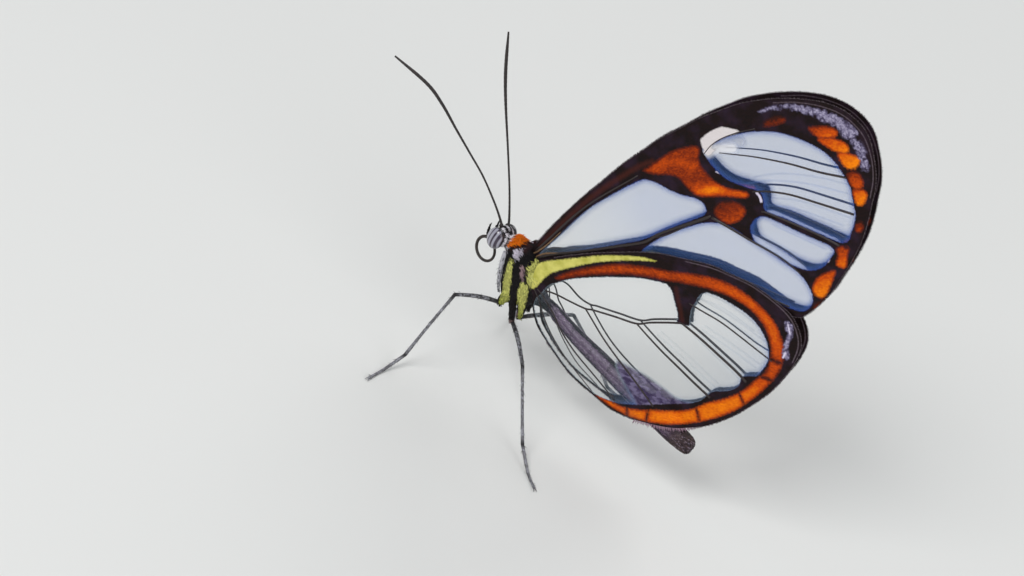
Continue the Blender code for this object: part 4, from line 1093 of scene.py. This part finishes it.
def bodyMap(places):
    # unwrap by length along the body and angle round it; coxae and palps have strips of their own
    x, y, z = places.T
    middle = np.interp(x, *np.array(body["middle"]).T)
    angle = (np.arctan2(y, z - middle) / (2 * math.pi)) % 1
    along = (x - 0.2) / 19.4
    uv = np.column_stack([0.01 + 0.98 * np.clip(along, 0, 1), 0.02 + 0.68 * angle])
    coxa = (z < 5.9) & (x < 5.6)
    turn = (np.arctan2(y - 0.5 * np.sign(y), x - 4.3) / (2 * math.pi)) % 1
    height = np.clip((5.9 - z) / 1.4, 0, 1)
    coxaUv = np.column_stack([0.02 + 0.45 * turn + 0.5 * (y > 0), 0.74 + 0.1 * height])
    face = x < 0.95
    faceTurn = (np.arctan2(y, x - 0.6) / (2 * math.pi)) % 1
    faceUv = np.column_stack([0.02 + 0.96 * faceTurn, 0.87 + 0.1 * np.clip((z - 8.5) / 1.8, 0, 1)])
    uv = np.where(coxa[:, None], coxaUv, uv)
    return np.where(face[:, None], faceUv, uv)


# spacing, length, width, lift and bend of the tufts, their darkest and lightest shade, and the stretch of
# the body that each kind covers
coat = dict(
    head=dict(spacing=0.065, length=0.15, width=0.032, lift=0.4, bend=0.3, shades=(0.8, 1.2),
              slot="body_scales", within=lambda p: p[:, 0] < 2.3),
    collar=dict(spacing=0.065, length=0.36, width=0.038, lift=0.55, bend=0.5, shades=(0.85, 1.2),
                slot="collar_scales",
                within=lambda p: (p[:, 0] >= 2.15) & (p[:, 0] < 3.0) & (p[:, 2] > 9.3)),
    thorax=dict(spacing=0.085, length=0.27, width=0.042, lift=0.3, bend=0.3, shades=(0.65, 1.25),
                slot="body_scales",
                within=lambda p: (p[:, 0] >= 2.3) & (p[:, 0] < 6.7) & ((p[:, 0] > 2.9) | (p[:, 2] < 9.6))),
    abdomen=dict(spacing=0.10, length=0.2, width=0.06, lift=0.13, bend=0.1, shades=(0.6, 1.4),
                 slot="abdomen_scales", within=lambda p: p[:, 0] >= 6.5),
)
# how far tufts stray from the lie, sink in the skin and take a neighbour's colour, and the pale ones
# on the abdomen
coatMix = dict(stray=0.22, sunk=0.02, blur=0.03, ledge=0.12, grey=0.003, tipLonger=0.25,
               pale=(0.15, 0.12, 0.16), paleShare=0.16)


def addCoat(part, points, normals, triangles):
    # tufts over one stretch of the skin, in the colour that the markings have at each root
    look = coat[part]
    roots, outs = scatter(points, normals, triangles, look["spacing"], look["within"])
    if part == "collar":
        onTop = roots[:, 2] > np.interp(roots[:, 0], *np.array(body["collar"]).T) - coatMix["ledge"]
        roots, outs = roots[onTop], outs[onTop]
    count = len(roots)
    lies = bodyFlow(roots) + coatMix["stray"] * rng.standard_normal((count, 3))
    lengths = look["length"] * rng.uniform(0.7, 1.3, count)
    lift = look["lift"] * rng.uniform(0.5, 1.3, count)
    if part == "abdomen":
        lengths = lengths * (1 + coatMix["tipLonger"] * softStep((roots[:, 0] - 18.2) / 0.8))
    widths, bend = look["width"] * rng.uniform(0.7, 1.2, count), np.full(count, look["bend"])
    points, faces, each = tufts(roots - coatMix["sunk"] * outs, outs, lies, lengths, widths, lift, bend)
    tint = bodyColour(roots + coatMix["blur"] * rng.standard_normal((count, 3)))
    tint = tint * rng.uniform(*look["shades"], (count, 1)) + coatMix["grey"] * rng.random((count, 1))
    if part == "abdomen":
        pale = rng.random(count) < coatMix["paleShare"]
        tint = tint + pale[:, None] * np.array(coatMix["pale"])
    mesh = makeMesh(f"{part}_coat", points, faces, smooth=False)
    addTint(mesh, np.clip(tint, 0, 1), each)
    addMap(mesh, patchMap(bodyMap(roots), each))
    addPiece(f"{part}_coat", mesh, tuftFinish)
    return count


# tan ridges of hair on the forewing's root, as paths in its (u, v) and radii
rootLines = [
    ([(-0.55, -0.45), (-0.2, -0.38), (0.15, -0.27), (0.85, -0.25), (1.8, -0.5)], (0.05, 0.06, 0.06, 0.04)),
    ([(-0.45, -0.2), (-0.15, -0.05), (0.6, 0.08), (1.4, 0.3), (2.6, 0.75)], (0.05, 0.06, 0.05, 0.03)),
]


def addRootLines(side, way):
    # a tube along each ridge, just outside the wing
    s = Shader("wing root hair")
    grain = s.noise(s.place(), 7.0, 3.0)
    s.set(colour=s.mix(grain, (0.02, 0.010, 0.006), body["tan"]), roughness=0.6)
    rings = []
    for path, radii in rootLines:
        line = smoothLine(path, 50)
        rings.append(tubeRings(wingPlaces(line, foreWing, way, 0.03), spread(radii, 50), 10))
    mesh = makeMesh(f"wing_root_{side}", *joined(rings))
    addPiece(f"wing_root_{side}", mesh, s.material)


def addBody():
    # the one skin, then the coat on it
    mesh, points = fuse("body_skin", bodyParts())
    normals = np.zeros(len(points) * 3, np.float32)
    mesh.vertices.foreach_get("normal", normals)
    normals = normals.reshape(-1, 3).astype(float)
    mesh.calc_loop_triangles()
    triangles = np.zeros(len(mesh.loop_triangles) * 3, np.int32)
    mesh.loop_triangles.foreach_get("vertices", triangles)
    triangles = triangles.reshape(-1, 3)
    placeMesh(mesh, points)
    addTint(mesh, bodyColour(points))
    replaced = ("head", "palp_left", "palp_right", "collar", "thorax", "abdomen")
    addPiece("body_skin", mesh, skinMaterial(), replaced)
    counts = {part: addCoat(part, points, normals, triangles) for part in coat}
    print("body made", counts, len(triangles))


addBody()
addRootLines("left", -1)
addRootLines("right", 1)


# eyes

eye = dict(
    centre=(1.47, 0.58, 9.38), radii=(0.61, 0.48, 0.77), stripes=4.2, slant=-0.03, facets=35.0,
    pale=(0.36, 0.35, 0.42), dark=(0.035, 0.022, 0.045), rim=(0.012, 0.010, 0.012),
)


def eyeMaterial():
    # upright dark stripes over silver-grey, darker towards the rim, with fine facets
    s = Shader("eye")
    axes = s.add("ShaderNodeSeparateXYZ")
    s.feed(axes.inputs[0], s.vector("eyePlace"))
    slanted = s.maths("MULTIPLY_ADD", axes.outputs[2], -eye["slant"], axes.outputs[0])
    wave = s.maths("SINE", s.maths("MULTIPLY", slanted, eye["stripes"] * math.pi))
    rearward = s.between(axes.outputs[0], -0.7, 0.7, -0.75, 0.6)
    striped = s.between(s.maths("ADD", wave, rearward), -0.35, 0.65)
    colour = s.mix(striped, eye["pale"], eye["dark"])
    nearRim = s.between(axes.outputs[1], 0.1, 0.32, 1.0, 0.0)
    colour = s.mix(nearRim, colour, eye["rim"])
    s.set(colour=colour, roughness=0.22, coat=0.6, coatRoughness=0.08)
    s.bump(s.cells(s.vector("eyePlace"), eye["facets"]), 0.12, 0.00002)
    return s.material


def addEye(side, way):
    # an ellipsoid that keeps its place on the unit ball, with y outwards, for its stripes
    globe = egg((0, 0, 0), (1, 1, 1), 48, 64)
    rings = globe * eye["radii"] + np.array(eye["centre"])
    if way < 0:
        rings, globe = mirror(rings), globe[:, ::-1]
    mesh = makeMesh(f"eye_{side}_globe", *ringMesh(turnedHead(rings)))
    addValues(mesh, dict(eyePlace=ringMesh(globe)[0]))
    addPiece(f"eye_{side}_globe", mesh, eyeFinish, (f"eye_{side}",))


eyeFinish = eyeMaterial()
addEye("left", -1)
addEye("right", 1)


# mouth tube and feelers

# the coil's middle as (x, z), its radius outside and inside, and its start and turn in degrees
proboscis = dict(mouth=(1.2, 0.0, 8.95), middle=(0.86, 7.75), radius=0.83, inner=0.72, start=80.0,
                 turn=395.0, tube=(0.11, 0.085), ridges=110, depth=0.05)
feelers = dict(
    left=[(1.2, -0.02, 10.15), (1.09, -0.1, 10.45), (0.27, -0.4, 11.51), (-1.11, -0.9, 13.03),
          (-2.42, -1.5, 14.3), (-3.72, -2.1, 15.55), (-5.23, -2.6, 16.87), (-6.57, -3.0, 17.71),
          (-9.08, -3.4, 18.28)],
    right=[(1.42, 0.45, 10.1), (1.36, 0.6, 10.4), (0.42, 0.7, 12.29), (-0.9, 0.8, 14.64),
           (-2.46, 0.9, 17.37), (-3.45, 0.95, 19.35), (-4.42, 1.0, 21.74)],
    radii=(0.085, 0.07, 0.066, 0.066, 0.07, 0.08, 0.1, 0.115, 0.11, 0.06),
    segment=0.3, ridge=0.10, base=0.13,
)


def hornMaterial(name, dark, pale, roughness):
    # satin horn, mottled from dark to pale, with a fine rough skin
    s = Shader(name)
    grain = s.noise(s.place(), 5.0, 3.0)
    s.set(colour=s.mix(s.between(grain, 0.35, 0.7), dark, pale), roughness=roughness)
    s.bump(s.noise(s.place(), 20.0, 2.0), 0.25, 0.00002)
    return s.material


def addProboscis():
    # one turn and a bit, closing inward, with fine cross ridges
    count = 420
    share = np.linspace(0, 1, count)
    angle = np.radians(proboscis["start"] + share * proboscis["turn"])
    radius = proboscis["radius"] + share**1.6 * (proboscis["inner"] - proboscis["radius"])
    x = proboscis["middle"][0] + radius * np.cos(angle)
    z = proboscis["middle"][1] + radius * np.sin(angle)
    path = np.column_stack([x, 0.07 * softStep((share - 0.75) / 0.25), z])
    ridges = np.sin(2 * math.pi * proboscis["ridges"] * share)
    thick = spread(proboscis["tube"], count) * (1 + proboscis["depth"] * ridges)
    mouth = np.array([proboscis["mouth"]])
    root = mouth + np.linspace(0, 1, 14)[:, None] * (path[0] - mouth)
    path = smoothLine(np.vstack([root[:-1:4], path[6::6]]), count)
    mesh = makeMesh("mouth_tube", *ringMesh(turnedHead(tubeRings(path, thick, 14))))
    finish = hornMaterial("mouth tube", (0.012, 0.009, 0.008), (0.045, 0.028, 0.02), 0.35)
    addPiece("mouth_tube", mesh, finish, ("proboscis",))


feelerFinish = hornMaterial("feeler", (0.010, 0.008, 0.008), (0.035, 0.024, 0.022), 0.5)


def addFeeler(side):
    # a ringed tube with a thick root, swelling to a slim club: radius times a wave for each segment
    line = smoothLine(feelers[side], 900)
    length = np.linalg.norm(np.diff(line, axis=0), axis=1).sum()
    share = np.linspace(0, 1, len(line))
    waves = np.abs(np.sin(math.pi * share * length / feelers["segment"])) ** 0.4
    thick = spread(feelers["radii"], len(line)) * (1 - feelers["ridge"] + feelers["ridge"] * waves)
    thick = np.maximum(thick, feelers["base"] * (1 - softStep((share * length - 0.12) / 0.18)))
    mesh = makeMesh(f"feeler_{side}", *ringMesh(tubeRings(line, thick, 14)))
    addPiece(f"feeler_{side}", mesh, feelerFinish, (f"antenna_{side}",))


addProboscis()
addFeeler("left")
addFeeler("right")
print("eyes, mouth tube and feelers made")


# legs

# root, knee, ankle and the two ends of the foot, then radii along each run
legs = dict(
    mid_left=[(3.6, -0.5, 5.6), (1.44, -3.5, 6.17), (0.66, -4.7, 0.9), (0.25, -6.4, 0.16),
              (0.05, -7.9, 0.14)],
    mid_right=[(3.6, 0.5, 5.6), (2.52, 3.62, 6.1), (3.46, 5.25, 0.9), (3.22, 6.82, 0.16), (2.9, 8.2, 0.14)],
    hind_left=[(4.88, -0.46, 4.9), (7.51, -3.5, 4.68), (10.3, -5.2, 0.9), (11.7, -6.3, 0.16),
               (12.7, -7.2, 0.14)],
    hind_right=[(4.82, 0.46, 4.7), (7.3, 4.0, 5.0), (11.3, 5.4, 0.9), (13.3, 6.1, 0.16), (15.6, 6.6, 0.14)],
    femur=(0.13, 0.15, 0.145, 0.13, 0.12), tibia=(0.12, 0.10, 0.10, 0.105, 0.12),
    tarsus=(0.11, 0.10, 0.085, 0.08),
    joints=5, flare=0.16, claw=0.28,
)
forelegs = dict(path=[(2.4, 0.45, 9.0), (2.5, 0.51, 8.3), (2.68, 0.58, 7.5), (2.98, 0.62, 6.75),
                      (3.2, 0.6, 6.3)],
                radii=(0.2, 0.19, 0.14, 0.11, 0.05))
legTones = dict(black=(0.014, 0.012, 0.014), speck=(0.34, 0.34, 0.38), pale=(0.50, 0.49, 0.53))


def legMaterial():
    # grey-white scales in specks over black
    s = Shader("leg scales")
    place = s.place()
    specks = s.between(s.noise(place, 4.5, 4.0, 0.7), 0.46, 0.6)
    pale = s.mix(s.value("pale"), legTones["black"], legTones["pale"])
    colour = s.mix(s.maths("MULTIPLY", specks, s.value("specked")), pale, legTones["speck"])
    s.set(colour=colour, roughness=0.5)
    s.bump(s.cells(place, 11.0), 0.5, 0.00003)
    return s.material


legFinish = legMaterial()


def bowed(a, b, bow, count):
    # a run from a to b that sags or rises by bow in the middle
    share = np.linspace(0, 1, count)[:, None]
    line = np.asarray(a) + share * (np.asarray(b) - np.asarray(a))
    return line + np.sin(math.pi * share) * np.asarray(bow)


def addLeg(name, way):
    # three tubes from joint to joint, the foot flared at each of its small joints, and two hooked claws
    root, knee, ankle, down, tip = (np.array(place) for place in legs[name])
    femur = bowed(root, knee, (0, 0, 0.18), 60)
    tibia = bowed(knee, ankle, (0.0, 0.12 * way, 0.1), 90)
    tarsus = smoothLine([ankle, down, tip], 120)
    share = np.linspace(0, 1, 120)
    flare = 1 + legs["flare"] * ((share * legs["joints"]) % 1) ** 3
    forward = unit(tip - down)
    across = unit(np.cross(forward, [0, 0, 1]))
    claws = []
    for turn in (-1, 1):
        bend = tip + 0.5 * legs["claw"] * forward + turn * 0.07 * across
        point = tip + legs["claw"] * forward + turn * 0.12 * across - [0, 0, 0.06]
        hook = np.array([tip - 0.1 * forward, bend, point])
        claws.append(tubeRings(smoothLine(hook, 14), spread((0.05, 0.035, 0.012), 14), 8))
    rings = [tubeRings(femur, spread(legs["femur"], 60), 16),
             tubeRings(tibia, spread(legs["tibia"], 90), 16),
             tubeRings(tarsus, spread(legs["tarsus"], 120) * flare, 16)]
    points, faces = joined(rings + claws)
    mesh = makeMesh(f"leg_{name}", points, faces)
    joints = np.min([np.linalg.norm(points - joint, axis=1) for joint in (root, knee, ankle)], axis=0)
    specked = softStep((joints - 0.1) / 0.35) * 0.9
    specked = specked * softStep((np.linalg.norm(points - root, axis=1) - 0.4) / 1.2)
    onTibia = softStep((lineDistance(points, femur) - 0.2) / 0.3)
    addValues(mesh, dict(specked=specked, pale=0.25 * specked * onTibia))
    addPiece(f"leg_{name}", mesh, legFinish, (f"femur_{name}", f"tibia_{name}", f"tarsus_{name}"))
    addSpines(name, [femur, tibia, tarsus], [legs["femur"], legs["tibia"], legs["tarsus"]], (150, 190, 150))


# shares of standing spines and of dark scales, the run of each one's length, and how low a hair may reach
spines = dict(share=0.16, darkShare=0.45, spine=(0.16, 0.26), scale=(0.12, 0.2), lifts=(0.8, 0.12),
              widths=(0.018, 0.035), dark=0.015, pale=(0.15, 0.4), tone=(1.0, 0.99, 1.08), floor=0.012)


def addSpines(name, runs, radii, perRun):
    # scales that lie along the leg, and longer dark spines that stand off it
    sets = []
    for line, thick, count in zip(runs, radii, perRun):
        at = rng.uniform(0.02, 0.98, count) * (len(line) - 1)
        low = at.astype(int)
        places = line[low] + (at - low)[:, None] * (line[np.minimum(low + 1, len(line) - 1)] - line[low])
        along = unit(np.gradient(line, axis=0))[low]
        out = rng.standard_normal((count, 3))
        out = unit(out - along * (out * along).sum(axis=1, keepdims=True))
        size = np.interp(at / (len(line) - 1), np.linspace(0, 1, len(thick)), thick)
        spine = rng.random(count) < spines["share"]
        length = np.where(spine, rng.uniform(*spines["spine"], count), rng.uniform(*spines["scale"], count))
        dark = spine | (rng.random(count) < spines["darkShare"])
        grey = np.where(dark, spines["dark"], rng.uniform(*spines["pale"], count))
        sets.append((places + 0.85 * size[:, None] * out, out, along, length, spine, grey))
    roots, outs, lies, lengths, spine, grey = (np.concatenate(part) for part in zip(*sets))
    # near the floor they point up
    low = roots[:, 2] < 0.2
    outs[low, 2] = np.abs(outs[low, 2])
    roots[low, 2] = np.maximum(roots[low, 2], 0.12)
    widths, lifts = np.where(spine, *spines["widths"]), np.where(spine, *spines["lifts"])
    points, faces, each = tufts(roots, outs, lies, lengths, widths, lifts, np.full(len(roots), 0.1))
    points[:, 2] = np.maximum(points[:, 2], spines["floor"])
    mesh = makeMesh(f"leg_{name}_coat", points, faces, smooth=False)
    addTint(mesh, grey[:, None] * np.array(spines["tone"]), each)
    column, row = np.arange(len(roots)) % 25, np.arange(len(roots)) // 25
    uv = np.column_stack([0.02 + 0.96 * column / 25, 0.02 + 0.96 * row / (len(roots) // 25 + 1)])
    addMap(mesh, patchMap(uv, each))
    addPiece(f"leg_{name}_coat", mesh, tuftFinish)


for legName in ("mid_left", "mid_right", "hind_left", "hind_right"):
    addLeg(legName, -1 if legName.endswith("left") else 1)


def addForeleg(side, way):
    # the small folded front leg, a hairy brush under the neck
    line = smoothLine(forelegs["path"], 60)
    rings = tubeRings(line, spread(forelegs["radii"], 60), 16)
    if way < 0:
        rings, line = mirror(rings), line * [1, -1, 1]
    points, faces = ringMesh(rings)
    mesh = makeMesh(f"front_leg_{side}", points, faces)
    addValues(mesh, dict(specked=np.full(len(points), 0.8), pale=np.ones(len(points))))
    addPiece(f"front_leg_{side}", mesh, legFinish, (f"foreleg_{side}",))
    addSpines(f"front_{side}", [line], [forelegs["radii"]], (260,))


addForeleg("left", -1)
addForeleg("right", 1)
print("legs made")


# camera, floor and light

camera = dict(
    place=(49.51, -203.95, 147.63), back=(0.1816, -0.8090, 0.5590), right=(0.8029, 0.4503, 0.3908),
    lens=138.4, sensor=36.0, near=0.005, far=10.0,
)
# sizes and places of the room in metres
studio = dict(
    floor=(0.80, 0.80, 0.78), floorHalf=3.0, world=(0.92, 0.96, 1.0), worldLight=0.35, aim=(0, 0, 0.015),
    lamps=[("key", (-0.12, -0.28, 0.36), 0.22, 1.1), ("fill", (0.35, -0.15, 0.30), 0.35, 0.5),
           ("rim", (0.05, 0.35, 0.30), 0.30, 0.5)],
)


def stand(thing, right, back, place):
    # put a camera or lamp at its place, looking away from back
    turned = np.eye(4)
    turned[:3] = np.column_stack([right, np.cross(back, right), back, place])
    thing.matrix_world = Matrix(turned.tolist())
    bpy.context.scene.collection.objects.link(thing)


def addCamera():
    data = bpy.data.cameras.new("camera")
    data.sensor_width, data.lens = camera["sensor"], camera["lens"]
    data.clip_start, data.clip_end = camera["near"], camera["far"]
    thing = bpy.data.objects.new("camera", data)
    back = unit(np.array(camera["back"]))
    right = unit(np.array(camera["right"]) - back * (back @ np.array(camera["right"])))
    stand(thing, right, back, (np.array(camera["place"]) + shift) * millimetre)
    bpy.context.scene.camera = thing


def addFloor():
    s = Shader("pale floor")
    s.set(colour=studio["floor"], roughness=0.85)
    mesh = bpy.data.meshes.new("floor")
    half = studio["floorHalf"]
    corners = [(-half, -half, 0), (half, -half, 0), (half, half, 0), (-half, half, 0)]
    mesh.from_pydata(corners, [], [(0, 1, 2, 3)])
    floor = bpy.data.objects.new("floor", mesh)
    mesh.materials.append(s.material)
    bpy.context.scene.collection.objects.link(floor)


def addLamp(name, place, size, watts):
    # a round soft lamp turned to the insect
    data = bpy.data.lights.new(name, "AREA")
    data.shape, data.size, data.energy = "DISK", size, watts
    back = unit(np.array(place) - np.array(studio["aim"]))
    right = unit(np.cross([0.0, 0.0, 1.0], back) + np.array([1e-6, 0, 0]))
    stand(bpy.data.objects.new(name, data), right, back, place)


addCamera()
addFloor()
for lamp in studio["lamps"]:
    addLamp(*lamp)
world = bpy.data.worlds.new("studio")
world.use_nodes = True
backdrop = world.node_tree.nodes["Background"]
backdrop.inputs[0].default_value = (*studio["world"], 1)
backdrop.inputs[1].default_value = studio["worldLight"]
bpy.context.scene.world = world
bpy.context.scene.view_settings.view_transform = "Standard"
bpy.context.scene.cycles.transparent_max_bounces = 32
print("camera and light set")
